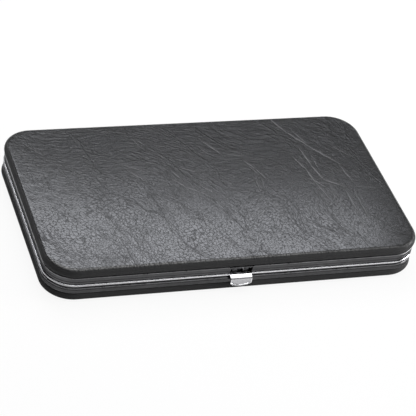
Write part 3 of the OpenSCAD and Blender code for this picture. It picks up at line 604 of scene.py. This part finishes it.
def lofted(name, stations, look, count, power, at):
    # closed body along X through stations of (x, half width, half height, rise)
    points = []
    for x, wide, high, rise in stations:
        for i in range(count):
            a = 2 * pi * i / count
            c, s = cos(a), sin(a)
            points.append((at[0] + x, at[1] + wide * copysign(abs(c) ** (2 / power), c),
                           at[2] + rise + high * copysign(abs(s) ** (2 / power), s)))
    faces = skinFaces(len(stations), count)
    faces += [list(range(count))[::-1], [(len(stations) - 1) * count + i for i in range(count)]]
    return pieceFrom(name, points, faces, look, 50)


def pushed(name, side, fromX, toX, edge, look):  # a side view (y, z) pushed along X
    n = len(side)
    points = [(x, y, z) for x in (fromX, toX) for y, z in side]
    faces = [list(range(n)), [n + i for i in range(n)][::-1]]
    faces += [[i, (i + 1) % n, n + (i + 1) % n, n + i] for i in range(n)]
    return soften(pieceFrom(name, points, faces, look, 40), edge, 2, 40)


def nodeTree(name, build, **sizes):  # Geometry Nodes with these named inputs and a material
    group = bpy.data.node_groups.new(name, "GeometryNodeTree")
    labels = {label: label.replace("_", " ") for label in list(sizes) + ["Material"]}
    for label, shown in labels.items():
        kind = sizes.get(label, "Material")
        group.interface.new_socket(shown, in_out="INPUT", socket_type="NodeSocket" + kind)
    group.interface.new_socket("Geometry", in_out="OUTPUT", socket_type="NodeSocketGeometry")
    g = Graph(group)
    start = g.add("NodeGroupInput")
    size = {label: start.other(shown) for label, shown in labels.items()}
    real = g.add("GeometryNodeRealizeInstances", None, {0: build(g, size)})
    coloured = g.add("GeometryNodeSetMaterial", None, {"Geometry": real, "Material": size["Material"]})
    g.add("NodeGroupOutput", None, {0: coloured})
    return group


def grown(name, tree, look, **sizes):  # runs a tree once and keeps its plain mesh
    made = added(name, bpy.data.meshes.new(name))
    step = made.modifiers.new("shape", "NODES")
    step.node_group = tree
    known = {s.name: s.identifier for s in tree.interface.items_tree if s.in_out == "INPUT"}
    for label, value in dict(sizes, Material=finish[look]).items():
        step[known[label.replace("_", " ")]] = value
    settle(made)
    shade(made.data, 45)
    return made


def buildCoil(g, s):  # torsion spring along X: a helix and its two legs
    helix = g.add("GeometryNodeCurveSpiral", None,
                  {"Resolution": 24, "Rotations": s["Turns"], "Start Radius": s["Radius"], "End Radius": s["Radius"],
                   "Height": s["Length"]})
    turned = g.add("GeometryNodeTransform", None,
                   {"Geometry": helix, "Rotation": (0, radians(90), 0), "Translation": s["Start"]})
    legs = [g.add("GeometryNodeCurvePrimitiveLine", None, {"Start": s[leg + "_from"], "End": s[leg + "_to"]})
            for leg in ("Leg_1", "Leg_2")]
    whole = g.add("GeometryNodeJoinGeometry", None, {0: [turned] + legs})
    wire = g.add("GeometryNodeCurvePrimitiveCircle", None, {"Resolution": 10, "Radius": s["Wire"]})
    return g.add("GeometryNodeCurveToMesh", None, {"Curve": whole, "Profile Curve": wire, "Fill Caps": True})


def buildRow(g, s):  # row of small rounded bars, such as stitches or grip ridges
    line = g.add("GeometryNodeMeshLine", dict(mode="END_POINTS"),
                 {"Count": s["Count"], "Start Location": s["From"], "Offset": s["To"]})
    bead = g.add("GeometryNodeMeshUVSphere", None, {"Segments": 10, "Rings": 6, "Radius": 1})
    shaped = g.add("GeometryNodeTransform", None, {"Geometry": bead, "Scale": s["Size"]})
    return g.add("GeometryNodeInstanceOnPoints", None, {"Points": line, "Instance": shaped})


def buildBow(g, s):  # finger ring: an oval wire round a rounded rectangle
    box = g.add("GeometryNodeCurvePrimitiveQuadrilateral", None, {"Width": s["Width"], "Height": s["Height"]})
    rounded = g.add("GeometryNodeFilletCurve", dict(mode="POLY"), {"Curve": box, "Count": 16, "Radius": s["Corner"]})
    placed = g.add("GeometryNodeTransform", None, {"Geometry": rounded, "Translation": s["Middle"]})
    dot = g.add("GeometryNodeCurvePrimitiveCircle", None, {"Resolution": 20, "Radius": 1})
    oval = g.add("GeometryNodeTransform", None, {"Geometry": dot, "Scale": s["Section"]})
    return g.add("GeometryNodeCurveToMesh", None, {"Curve": placed, "Profile Curve": oval})


coilTree = nodeTree("coilSpring", buildCoil, Radius="Float", Wire="Float", Turns="Float", Length="Float",
                    Start="Vector", Leg_1_from="Vector", Leg_1_to="Vector", Leg_2_from="Vector", Leg_2_to="Vector")
rowTree = nodeTree("rowOfBars", buildRow, From="Vector", To="Vector", Count="Int", Size="Vector")
bowTree = nodeTree("fingerBow", buildBow, Width="Float", Height="Float", Corner="Float", Middle="Vector",
                   Section="Vector")


def bars(name, look, start, end, count, size):  # a straight row of them, in mm
    return grown(name, rowTree, look, From=inMetres(*start), To=inMetres(*end), Count=count, Size=inMetres(*size))


coverShape = dict(tuck=-0.62, tuckTop=1.85, edge=3.36, rollIn=1.61, rollRadius=1.93, crown=0.32, reach=(68.7, 38.4),
                  thickness=0.85, pucker=0.035, gathers=46, sway=0.03, swayFrom=1.5, swaySize=16, inset=1.6, turned=6.3)


def coverSide(s):  # section from the channel, round the roll, to the flat: (out, distance from the mouth)
    rise = plan["mouth"] - s["rollRadius"]
    start = degrees(asin((s["edge"] + 0.12 - rise) / s["rollRadius"]))
    tuck = [(s["tuck"], s["tuckTop"] + (s["edge"] - s["tuckTop"]) * t) for t in (0, 0.35, 0.7, 1)]
    return tuck + arc((-s["rollIn"], rise), s["rollRadius"], start, 90, 20)


def cover(name, up, crown, clearHalf, body, node):
    s = coverShape
    path = ring(3.6, 18, (-clearHalf - 0.25, -clearHalf, clearHalf, clearHalf + 0.25))
    section = coverSide(s)
    rows = swept(path, section)
    tucked, rolled = 4, len(section) - 6
    for r in range(tucked):  # the tucked edge stops short of the lift tab's parts
        short = s["edge"] - 0.02 * (tucked - 1 - r)
        rows[r] = [(x, y, short if abs(x) <= clearHalf + 0.01 and y < 0 else z) for x, y, z in rows[r]]
    for r in range(tucked, rolled):  # slight gathers where the leather turns the corners
        depth = s["pucker"] * sin(pi * (r - tucked) / (rolled - tucked)) ** 2
        for c, (_, n) in enumerate(path):
            bend, turn = min(abs(n.x), abs(n.y)) * 1.414, atan2(n.y, n.x)
            push = -depth * bend * (0.5 + 0.5 * sin(s["gathers"] * turn + 1.3 * sin(5 * turn)))
            x, y, z = rows[r][c]
            rows[r][c] = (x + n.x * push, y + n.y * push, z)
    rows += closing(rows[-1], (0.02, 0.05, 0.09, 0.14, 0.2, 0.28, 0.37, 0.47, 0.58, 0.7, 0.82, 0.92, 1.0),
                    crowned(crown, s["reach"], 6))
    waved(rows, s["edge"] + s["swayFrom"], 1, s["sway"], s["swaySize"], 3.7 if up else 8.1)
    made = carry(thicken(shell(name, rows, up, "leather"), s["thickness"]), body, "leather", node)
    flat = inMetres(*(2 * (half - s["inset"] + s["turned"]) for half in (plan["halfX"], plan["halfY"])))


cover("lidLeather", True, coverShape["crown"], 4.3, "lid", "upper_cover")
cover("trayLeather", False, 0, 2.15, "base", "lower_cover")
print("leather covers made")

padShape = dict(inset=1.75, low=5.30, high=5.93, crown=0.30, reach=(68, 38), round=0.22, fill=0.8)


def pad(name, up, crown, body, node):
    s = padShape
    out, low, high, r = -s["inset"], s["low"], s["high"], s["round"]
    section = [(out - 6, low), (out - r, low), (out - r * 0.3, low + r * 0.3), (out, (low + high) / 2),
               (out - r * 0.3, high - r * 0.3), (out - r, high)]
    rows = swept(ring(6, 8), section)
    rows = (closing(rows[0], (1.0, 0.5)) + rows
            + closing(rows[-1], (0.1, 0.22, 0.36, 0.52, 0.7, 0.86, 1.0), crowned(crown, s["reach"], 2)))
    made = carry(shell(name, rows, up, "foam"), body, "padding", node)


pad("lidPadding", True, padShape["crown"], "lid", "upper_padding")
pad("trayPadding", False, 0, "base", "lower_padding")
print("padding made")

liningShape = dict(inset=3.76, top=0.60, floor=4.15, bend=0.9, thickness=0.28, ripple=0.02, rippleSize=7,
                   flat=(0.1400, 0.0795))


def lining(name, up, body, node):
    s = liningShape
    wall = [(-s["inset"], s["top"] + (s["floor"] - s["bend"] - s["top"]) * t) for t in (0, 0.4, 0.8)]
    turn = arc((-s["inset"] - s["bend"], s["floor"] - s["bend"]), s["bend"], 0, 90, 7)
    rows = swept(ring(3.6, 12), wall + turn)
    rows += closing(rows[-1], (0.03, 0.08, 0.15, 0.24, 0.35, 0.48, 0.62, 0.76, 0.9, 1.0))
    waved(rows, s["floor"] - 0.01, 0.01, s["ripple"], s["rippleSize"], 1.3 if up else 6.2)
    made = shell(name, rows, up, "suede")
    middle = min(made.data.polygons, key=lambda f: f.center.xy.length)
    thicken(made, s["thickness"], 1 if (middle.normal.z > 0) == up else -1)  # towards the board
    carry(made, body, "lining", node)


lining("lidLining", True, "lid", "upper_lining")
lining("trayLining", False, "base", "lower_lining")
print("linings made")


def tabSheet(s, inner):
    # columns of (x, y, z, outward y, outward z, dip) from the ledge over the fold and down the pad
    half = s["width"] / 2
    face = -plan["halfY"] + 0.35  # the ledge is level inside the notch and slopes down outside it
    run, edge = face - s["front"] - s["fold"], s["top"] - s["droop"]
    slope, down = atan2(s["droop"], run), edge - s["fold"]
    upper = [(inner, s["top"], 0.0, 1.0), (face + 0.2, s["top"], 0.0, 1.0)]
    upper += [(face - run * t, s["top"] - s["droop"] * t, -sin(slope), cos(slope)) for t in (0.06, 0.3, 0.6, 0.94)]
    for a in [slope + (pi / 2 - slope) * i / 8 for i in range(1, 9)]:
        upper.append((s["front"] + s["fold"] * (1 - sin(a)), down + s["fold"] * cos(a), -sin(a), cos(a)))
    places, columns, depth = [], 81, 44
    rows = len(upper) + depth
    for x in [half * (2 * i / (columns - 1) - 1) for i in range(columns)]:
        low = s["low"] + s["curve"] * (x / half) ** 2 * (1 + 0.25 * (x / half) ** 6)
        places += [(x, y, z, ny, nz, 0) for y, z, ny, nz in upper]
        for z in [down + (low - down) * k / depth for k in range(1, depth + 1)]:
            into = min(1, max(0, (min(half - abs(x), z - low) - s["rim"]) / s["wall"]))
            dip = s["dish"] * into * into * (3 - 2 * into) * min(1, max(0, (down - z) / 0.16))
            places.append((x, s["front"], z, -1.0, 0.0, dip))
    outer = [(x, y - ny * dip, z - nz * dip) for x, y, z, ny, nz, dip in places]
    inside = [(x, y - ny * s["thickness"], z - nz * s["thickness"]) for x, y, z, ny, nz, dip in places]
    n = columns * rows
    faces = skinFaces(columns, rows, False)
    faces += [[n + v for v in face][::-1] for face in faces]
    last = (columns - 1) * rows
    rims = [(a, a + 1) for k in range(rows - 1) for a in (k, last + k)]
    rims += [(a, a + rows) for k in range(0, last, rows) for a in (k, k + rows - 1)]
    faces += [[a, b, n + b, n + a] for a, b in rims]
    return soften(pieceFrom("tabSheet", outer + inside, faces, "tab", 45), s["edge"], 3, 50)


def liftTab():
    s, (py, pz) = tabShape, tabShape["pin"]
    inner = py + s["thickness"] / 2
    parts = [tabSheet(s, inner)]
    foot = s["top"] - 0.3
    arm = [(inner, foot)] + arc((py, pz), s["curl"], 0, 270, 22)
    arm += [(py - s["thickness"] / 2, pz - s["curl"] * 0.9), (inner - s["thickness"], foot)]
    for sign in (-1, 1):
        parts.append(pushed("tabArm", arm, s["armIn"] * sign, s["armOut"] * sign, s["armEdge"], "lacquer"))
    tooth = [(-41.5, 5.3), (-40.3, 5.36), (-39.95, 5.28), (-39.6, 5.17), (-39.32, 5.10), (-39.30, 4.62), (-39.6, 4.5),
             (-41.5, 4.5)]
    parts.append(pushed("tabTooth", tooth, -s["toothHalf"], s["toothHalf"], s["armEdge"], "plate"))
    carry(joined("liftTab", parts), "latch", "nickel", "latch_lever")


springShape = dict(radius=0.62, wire=0.11, turns=7.0, half=1.0, legs=0.95)


def latchSpring():
    s, (py, pz) = springShape, tabShape["pin"]
    h, r = s["half"], s["radius"]
    made = grown("latchCoil", coilTree, "steel", Radius=r * mm, Wire=s["wire"] * mm, Turns=s["turns"],
                 Length=2 * h * mm, Start=inMetres(-h, py, pz),
                 Leg_1_from=inMetres(-h, py, pz - r), Leg_1_to=inMetres(-h, py + s["legs"], pz - r - 0.1),
                 Leg_2_from=inMetres(h, py - r, pz), Leg_2_to=inMetres(h, py - r, pz - s["legs"]))
    carry(made, "lid", "steel", "latch_spring")


liftTab()
latchSpring()
print("lift tab and spring made")


def ribbon(name, path, middleX, width, thickness):
    # a band of elastic along a path of (place, height), with its weave laid along it
    across = [t * width for t in (-0.5, -0.46, -0.25, 0, 0.25, 0.46, 0.5)]
    points, weave, length = [], [], 0
    for k, (y, z) in enumerate(path):
        length += dist(path[k - 1], path[k]) if k else 0
        points += [(middleX + a, y, z) for a in across]
        weave += [(length, a) for a in across]
    made = pieceFrom(name, points, skinFaces(len(path), len(across), False), "elastic", 60, weave)
    return thicken(made, thickness, 0)


elasticShape = dict(width=8, thickness=0.42, seat=2.8, gap=0.12, round=0.75, ends=5, lift=0.02, nearEnd=0.8,
                    nearRise=1.6, between=1.3, stitches=6, stitchHalf=3.4, stitch=(0.48, 0.13, 0.10), proud=0.05)


def trayBand(name, middleX, held, node):  # held: place, half width and height of each instrument
    s = elasticShape
    base = s["seat"] + s["thickness"] / 2 + s["lift"]
    grow = s["gap"] + s["thickness"] / 2
    path = [(held[0][0] - held[0][1] - s["ends"], base)]
    flats = []
    for y, half, height in held:
        top = s["seat"] + height + grow + s["lift"]
        flats.append((path[-1][0], y - half - grow))
        path += [(y - half - grow, base), (y - half - grow, top), (y + half + grow, top), (y + half + grow, base)]
    path.append((held[-1][0] + held[-1][1] + s["ends"], base))
    flats.append((path[-2][0], path[-1][0]))
    carry(ribbon(name, filleted(path, s["round"]), middleX, s["width"], s["thickness"]), "base", "elastic", node)
    z = s["seat"] + s["thickness"] + s["proud"]
    ends, rows = (s["nearEnd"], s["nearRise"]), []
    insets = [ends] + [(s["between"], s["between"])] * (len(flats) - 2) + [ends[::-1]]
    for (a, b), (first, last) in zip(flats, insets):  # two rows of stitches hold each flat place
        rows += [bars(name + "Row", "thread", (middleX - s["stitchHalf"], y, z), (middleX + s["stitchHalf"], y, z),
                      s["stitches"], s["stitch"]) for y in (a + first, b - last)]
    carry(joined(name + "Stitches", rows), "base", "elastic")


def tweezersHeight(x):  # of the tweezers over the lining
    return 1.65 + (44 - x) * 1.6 / 75


trayBand("leftElastic", -22, [(-15, 1.6, 3.2), (2, 3.25, 2.0), (20, 4.5, tweezersHeight(-26))], "left_elastic_band")
trayBand("rightElastic", 26, [(-15, 1.6, 3.2), (2, 4.25, 3.0), (20, 4.5, tweezersHeight(22))], "right_elastic_band")

scissorsShape = dict(pivot=(-8, -10), thickness=1.5, edge=0.22, fixedLow=9.5, movingLow=7.9, ringX=44, ringY=11.2,
                     holeX=19, holeY=14, ringWidth=2.6, thinFrom=-5, thinOver=29, thinBy=0.55)
scissorsSpread = atan2(scissorsShape["ringY"], scissorsShape["ringX"])

loopShape = dict(width=6, thickness=0.42, top=11.0, low=9.5, gap=0.12, foot=1.9, round=0.5, shankAt=25, shankHalf=2.2,
                 bowAt=(46.8, -21.2), bowHalf=2.02, stitches=4, stitchHalf=2.3, stitch=(0.46, 0.13, 0.10), proud=0.05,
                 rowOut=1.1)


def lidLoops():
    s, (px, py) = loopShape, scissorsShape["pivot"]
    shank = (px + s["shankAt"] * cos(scissorsSpread), py - s["shankAt"] * sin(scissorsSpread))
    high, low = s["top"] - s["thickness"] / 2, s["low"] - s["gap"] - s["thickness"] / 2
    stitches = []
    for name, (cx, cy), half, turn in [("shankLoop", shank, s["shankHalf"], -scissorsSpread),
                                       ("bowLoop", s["bowAt"], s["bowHalf"], pi / 2)]:
        out = half + s["gap"] + s["thickness"] / 2
        path = [(-out - s["foot"], high), (-out, high), (-out, low), (out, low), (out, high), (out + s["foot"], high)]
        band = ribbon(name, filleted(path, s["round"]), 0, s["width"], s["thickness"])
        z = s["top"] - s["thickness"] - s["proud"]
        rows = [bars("loopRow", "thread", (-s["stitchHalf"], y, z), (s["stitchHalf"], y, z), s["stitches"], s["stitch"])
                for y in (-out - s["rowOut"], out + s["rowOut"])]
        c, n = cos(turn), sin(turn)
        for vert in [v for part in [band] + rows for v in part.data.vertices]:
            x, y = vert.co.x, vert.co.y
            vert.co.x, vert.co.y = cx * mm + x * c - y * n, cy * mm + x * n + y * c
        carry(band, "lid", "elastic", "scissors_loops")
        stitches += rows
    carry(joined("loopStitches", stitches), "lid", "elastic")


lidLoops()
print("elastic made")


def scissorsHalf(name, side, low, body, node):
    s, (px, py), spread = scissorsShape, scissorsShape["pivot"], scissorsSpread
    # the blade by its cutting side, the shank out and back, and the back of the blade
    front = [(-34, -0.05), (-30, -0.42), (-24, -0.55), (-15, -0.72), (-8, -1.1), (-4.6, -2.2), (-2.2, -3.5),
             (0.8, -4.05)]
    shank = [(6.5, -3.1), (12, -2.4), (20, -2.05), (28, -2.1), (34.2, -2.9),
             (34.2, 2.9), (28, 2.1), (20, 2.05), (12, 2.4), (6.5, 3.2)]
    back = [(1.4, 3.95), (-2, 4.1), (-8, 3.7), (-16, 3.1), (-24, 2.2), (-30, 1.15)]
    c, n = cos(spread), sin(spread)
    outline = smoothLoop(front + [(d * c + w * n, -d * n + w * c) for d, w in shank] + back, (0, 12, 13))
    if side > 0:
        outline = [(x, -y) for x, y in outline][::-1]
    blade = plate(name + "Blade", outline, low, s["thickness"], s["edge"], "instrument", s["pivot"])
    middle = low + s["thickness"] / 2
    for vert in blade.data.vertices:  # the blade thins towards its tip
        x = vert.co.x / mm - px
        if x < s["thinFrom"]:
            thin = 1 - s["thinBy"] * min(1, (s["thinFrom"] - x) / s["thinOver"])
            vert.co.z = (middle + (vert.co.z / mm - middle) * thin) * mm
    w = s["ringWidth"]
    bow = grown(name + "Bow", bowTree, "instrument", Width=(s["holeX"] + w) * mm, Height=(s["holeY"] + w) * mm,
                Corner=(s["holeY"] + w) / 2 * 0.999 * mm,
                Middle=inMetres(px + s["ringX"], py + side * s["ringY"], middle),
                Section=(w / 2 * mm, s["thickness"] / 2 * mm, 1.0))
    carry(joined(name, [blade, bow]), body, "instrument_steel", node)


scissorsHalf("lidScissorsHalf", -1, scissorsShape["fixedLow"], "lid", "scissors_fixed_half")
scissorsHalf("turningScissorsHalf", 1, scissorsShape["movingLow"], "scissors_half", "scissors_moving_half")
print("scissors made")

tweezersShape = dict(tail=44, y=20, length=84, tailLength=9, width=9, tip=3, arm=0.8, low=2.8, edge=0.16, gap=1.6,
                     corner=0.7, clear=0.05, tailLow=0.6, tailThick=1.05, ridges=9, ridge=(0.22, 3.0, 0.09),
                     ridged=(-0.30, -0.42))


def tweezersArm(name, upper, body, node):  # the upper arm starts past the lower one's tail block
    s = tweezersShape
    start = s["tailLength"] + s["clear"] if upper else 0
    reach, h, corner = s["length"] - start, s["width"] / 2, s["corner"]
    outline = [(0, h - corner), (-corner, h), (-reach * 0.25, h), (-reach * 0.45, h - 0.1), (-reach * 0.72, h * 0.66),
               (-reach + 1.6, s["tip"] / 2), (-reach, -s["tip"] / 2 + 0.4), (-reach * 0.72, -h * 0.70),
               (-reach * 0.45, -h + 0.1), (-reach * 0.25, -h), (-corner, -h), (0, -h + corner)]
    outline = smoothLoop(outline, (0, 1, 5, 6, 10, 11))[::-1]
    parts = [plate(name + "Plate", outline, 0, s["arm"], s["edge"], "instrument")]
    if upper:
        first, last = ((share * reach, 0, s["arm"]) for share in s["ridged"])
        parts.append(bars(name + "Ridge", "instrument", first, last, s["ridges"], s["ridge"]))
    else:
        tail = [(-s["tailLength"], -h), (-corner, -h), (0, -h + corner), (0, h - corner), (-corner, h),
                (-s["tailLength"], h)]
        parts.append(plate(name + "Tail", tail, s["tailLow"], s["tailThick"], s["edge"], "instrument"))
    made = joined(name, parts)
    lean = atan2(s["gap"], s["length"] - s["tailLength"]) if upper else 0  # up towards its tip
    tail = s["tail"] - start
    low = s["low"] + (s["arm"] + s["clear"] if upper else 0)
    for vert in made.data.vertices:
        x, z = vert.co.x / mm, vert.co.z / mm
        vert.co = Vector((tail + x * cos(lean) + z * sin(lean), s["y"] + vert.co.y / mm,
                          low - x * sin(lean) + z * cos(lean))) * mm
    carry(made, body, "instrument_steel", node)


tweezersArm("tweezersLowerArm", False, "base", "tweezers_lower_arm")
tweezersArm("tweezersUpperArm", True, "tweezers_arm", "tweezers_upper_arm")

fileShape = dict(y=2, low=2.8, bladeTo=-46, bladeWide=6.5, bladeThick=1.0, bladeRise=1.0, bury=8, edge=0.12,
                 handleFrom=12, handleTo=50, handleWide=8.5, handleThick=3, domed=2.2, waist=0.10,
                 grooves=(0.12, 0.17, 0.22, 0.27), grooveWide=0.008, grooveDeep=0.06)


def nailFile():
    s = fileShape
    h, tip, root = s["bladeWide"] / 2, s["bladeTo"], s["handleFrom"] + s["bury"] - 0.5
    half = [(s["handleFrom"] + 1, h), (-12, h), (-26, h * 0.97), (-38, h * 0.62), (tip + 0.6, 0.75)]
    outline = [(root, -h + 1), (root, h - 1)] + half + [(tip, 0)] + [(x, -y) for x, y in half[::-1]]
    blade = plate("fileBlade", smoothLoop(outline, (0, 1, 2, 12)), s["low"] + s["bladeRise"], s["bladeThick"],
                  s["edge"], "grit", (0, s["y"]))
    carry(blade, "base", "file_steel", "file_blade")
    length = s["handleTo"] - s["handleFrom"]
    stations = []
    for t in [i / 60 for i in range(61)]:
        end = min(t, 1 - t) * length
        rounding = sqrt(max(0, 1 - (1 - min(1, end / s["domed"])) ** 2)) * 0.98 + 0.02
        waist = 1 - s["waist"] * sin(pi * min(1, t / 0.45)) ** 2
        groove = s["grooveDeep"] * sum(exp(-((t - at) / s["grooveWide"]) ** 2) for at in s["grooves"])
        stations.append((s["handleFrom"] + length * t, s["handleWide"] / 2 * rounding * waist * (1 - groove),
                         s["handleThick"] / 2 * rounding ** 0.7 * (1 - groove), 0))
    handle = lofted("fileHandle", stations, "handle", 40, 2.7, (0, s["y"], s["low"] + s["handleThick"] / 2))
    carry(handle, "base", "handle_plastic", "file_handle")


pusherShape = dict(y=-15, low=2.8, radius=1.6, spoonFrom=-48, spoonTo=-36, spoonWide=5, lip=0.22, tail=51.55,
                   gripFrom=-12, gripTo=13, gripPitch=1.25, gripDepth=0.17, least=0.05)


def cuticlePusher():
    s = pusherShape
    r, least = s["radius"], s["least"]
    stations = []
    for t in [i / 28 for i in range(29)]:  # spoon: flat and thin at its lip, round at its neck
        lip = sqrt(max(0.0, 1 - (1 - min(1, t / 0.2)) ** 2))
        neck = t * t * (3 - 2 * t)
        wide = s["spoonWide"] / 2 * lip * (1 - neck) + r * neck
        stations.append((s["spoonFrom"] + (s["spoonTo"] - s["spoonFrom"]) * t, max(least, wide),
                         s["lip"] + (r - s["lip"]) * neck ** 2, -0.35 * (1 - neck) * (1 - t)))
    for i in range(1, 421):  # ringed grip on the front half, a dome at the tail
        x = s["spoonTo"] + (s["tail"] - s["spoonTo"]) * i / 420
        wave = 0.5 - 0.5 * cos((x - s["gripFrom"]) * 2 * pi / s["gripPitch"])
        grip = s["gripDepth"] * wave if s["gripFrom"] < x < s["gripTo"] else 0
        end = sqrt(max(0.0, 1 - max(0.0, (x - (s["tail"] - r)) / r) ** 2))
        radius = max(least, (r - grip) * end)
        stations.append((x, radius, radius, 0))
    made = lofted("cuticlePusher", stations, "instrument", 28, 2.0, (0, s["y"], s["low"] + r))
    carry(made, "base", "instrument_steel", "cuticle_pusher")


nailFile()
cuticlePusher()
print("instruments made")

carried = dict(  # CAD nodes that stay and get a better finish
    lacquer=["lower_frame", "upper_frame", "upper_trim", "latch_bracket", "latch_rivets"],
    plate=["mouth_rim"], board=["lower_board", "upper_board"], instrument=["scissors_screw"],
    steel=[f"{side}_hinge_{part}" for side in ("left", "right") for part in ("base_leaf", "lid_leaf", "pin")]
    + ["base_leaf_rivets", "lid_leaf_rivets", "latch_pin"])
for look, names in carried.items():
    for slot in [slot for name in names for slot in nodes[name].material_slots]:
        slot.material = finish[look]
print("carried-over pieces finished:", sum(len(names) for names in carried.values()))

view = dict(focal=1889, elevation=38.09, azimuth=25.09, roll=-12.49, offset=(-0.18, -2.16, 696.1), image=416)


def makeCamera(s):
    el, az, roll = (radians(s[k]) for k in ("elevation", "azimuth", "roll"))
    ahead = Vector((sin(az) * cos(el), cos(az) * cos(el), -sin(el)))
    level = Vector((cos(az), -sin(az), 0))
    down = ahead.cross(level)
    right = cos(roll) * level + sin(roll) * down
    drop = -sin(roll) * level + cos(roll) * down
    spot = -(right * s["offset"][0] + drop * s["offset"][1] + ahead * s["offset"][2]) + Vector((0, 0, plan["mouth"]))
    data = bpy.data.cameras.new("camera")
    data.lens = s["focal"] / s["image"] * data.sensor_width
    data.clip_start, data.clip_end = 0.05, 20
    made = added("camera", data)
    made.matrix_world = Matrix([[right[k], -drop[k], -ahead[k], spot[k] * mm] for k in range(3)] + [[0, 0, 0, 1]])
    scene.camera = made


stageShape = dict(size=6, colour=0.82, shown=0.9, mirrored=0.15)


def makeFloor(s):
    half = s["size"] / 2
    mesh = bpy.data.meshes.new("floor")
    mesh.from_pydata([(-half, -half, 0), (half, -half, 0), (half, half, 0), (-half, half, 0)], [], [[0, 1, 2, 3]])
    look = bpy.data.materials.new("floorPaper")
    g = clearedTree(look)
    paper = g.add("ShaderNodeBsdfDiffuse", None, {"Color": (s["colour"],) * 3 + (1,)})
    white = g.add("ShaderNodeEmission", None, {"Color": (1, 1, 1, 1), "Strength": 1.0})
    g.add("ShaderNodeOutputMaterial", None, {0: g.backdrop(paper, white, s["shown"], s["mirrored"])})
    mesh.materials.append(look)
    added("floor", mesh)


lamps = [  # turn from the back towards the right and rise over the floor in degrees, distance and size in metres
    dict(name="keySoftbox", turn=11, rise=48.5, away=0.38, size=(0.355, 0.09), power=0.50,
         colour=(0.955, 0.98, 1.05)),
    dict(name="leftSoftbox", turn=-18, rise=62, away=0.38, size=(0.10, 0.10), power=0.26),
    dict(name="stripSoftbox", turn=-38, rise=24, away=0.8, size=(0.5, 0.08), power=0.3),
    dict(name="topSoftbox", turn=60, rise=86, away=0.8, size=(0.7, 0.7), power=4.6),
    dict(name="rightSoftbox", turn=100, rise=15, away=0.8, size=(0.4, 0.3), power=6),
    dict(name="frontSoftbox", turn=150, rise=16, away=0.9, size=(0.5, 0.25), power=0.8),
]
sky = dict(strength=0.06, shown=1, mirrored=0.045)


def makeLights():
    for s in lamps:
        data = bpy.data.lights.new(s["name"], "AREA")
        data.shape, data.size, data.size_y, data.energy = "RECTANGLE", s["size"][0], s["size"][1], s["power"]
        data.color = s.get("colour", (1, 1, 1))
        turn, rise = radians(s["turn"]), radians(s["rise"])
        place = Vector((sin(turn) * cos(rise), cos(turn) * cos(rise), sin(rise))) * s["away"]
        made = added(s["name"], data)
        made.location = place
        made.rotation_euler = (-place).to_track_quat("-Z", "Y").to_euler()
    scene.world = bpy.data.worlds.new("studio")
    g = clearedTree(scene.world)
    soft, white = (g.add("ShaderNodeBackground", None, {"Color": (1, 1, 1, 1), "Strength": strength})
                   for strength in (sky["strength"], 1.0))
    g.add("ShaderNodeOutputWorld", None, {0: g.backdrop(soft, white, sky["shown"], sky["mirrored"])})


makeCamera(view)
makeFloor(stageShape)
makeLights()
print("camera, floor and light ready")
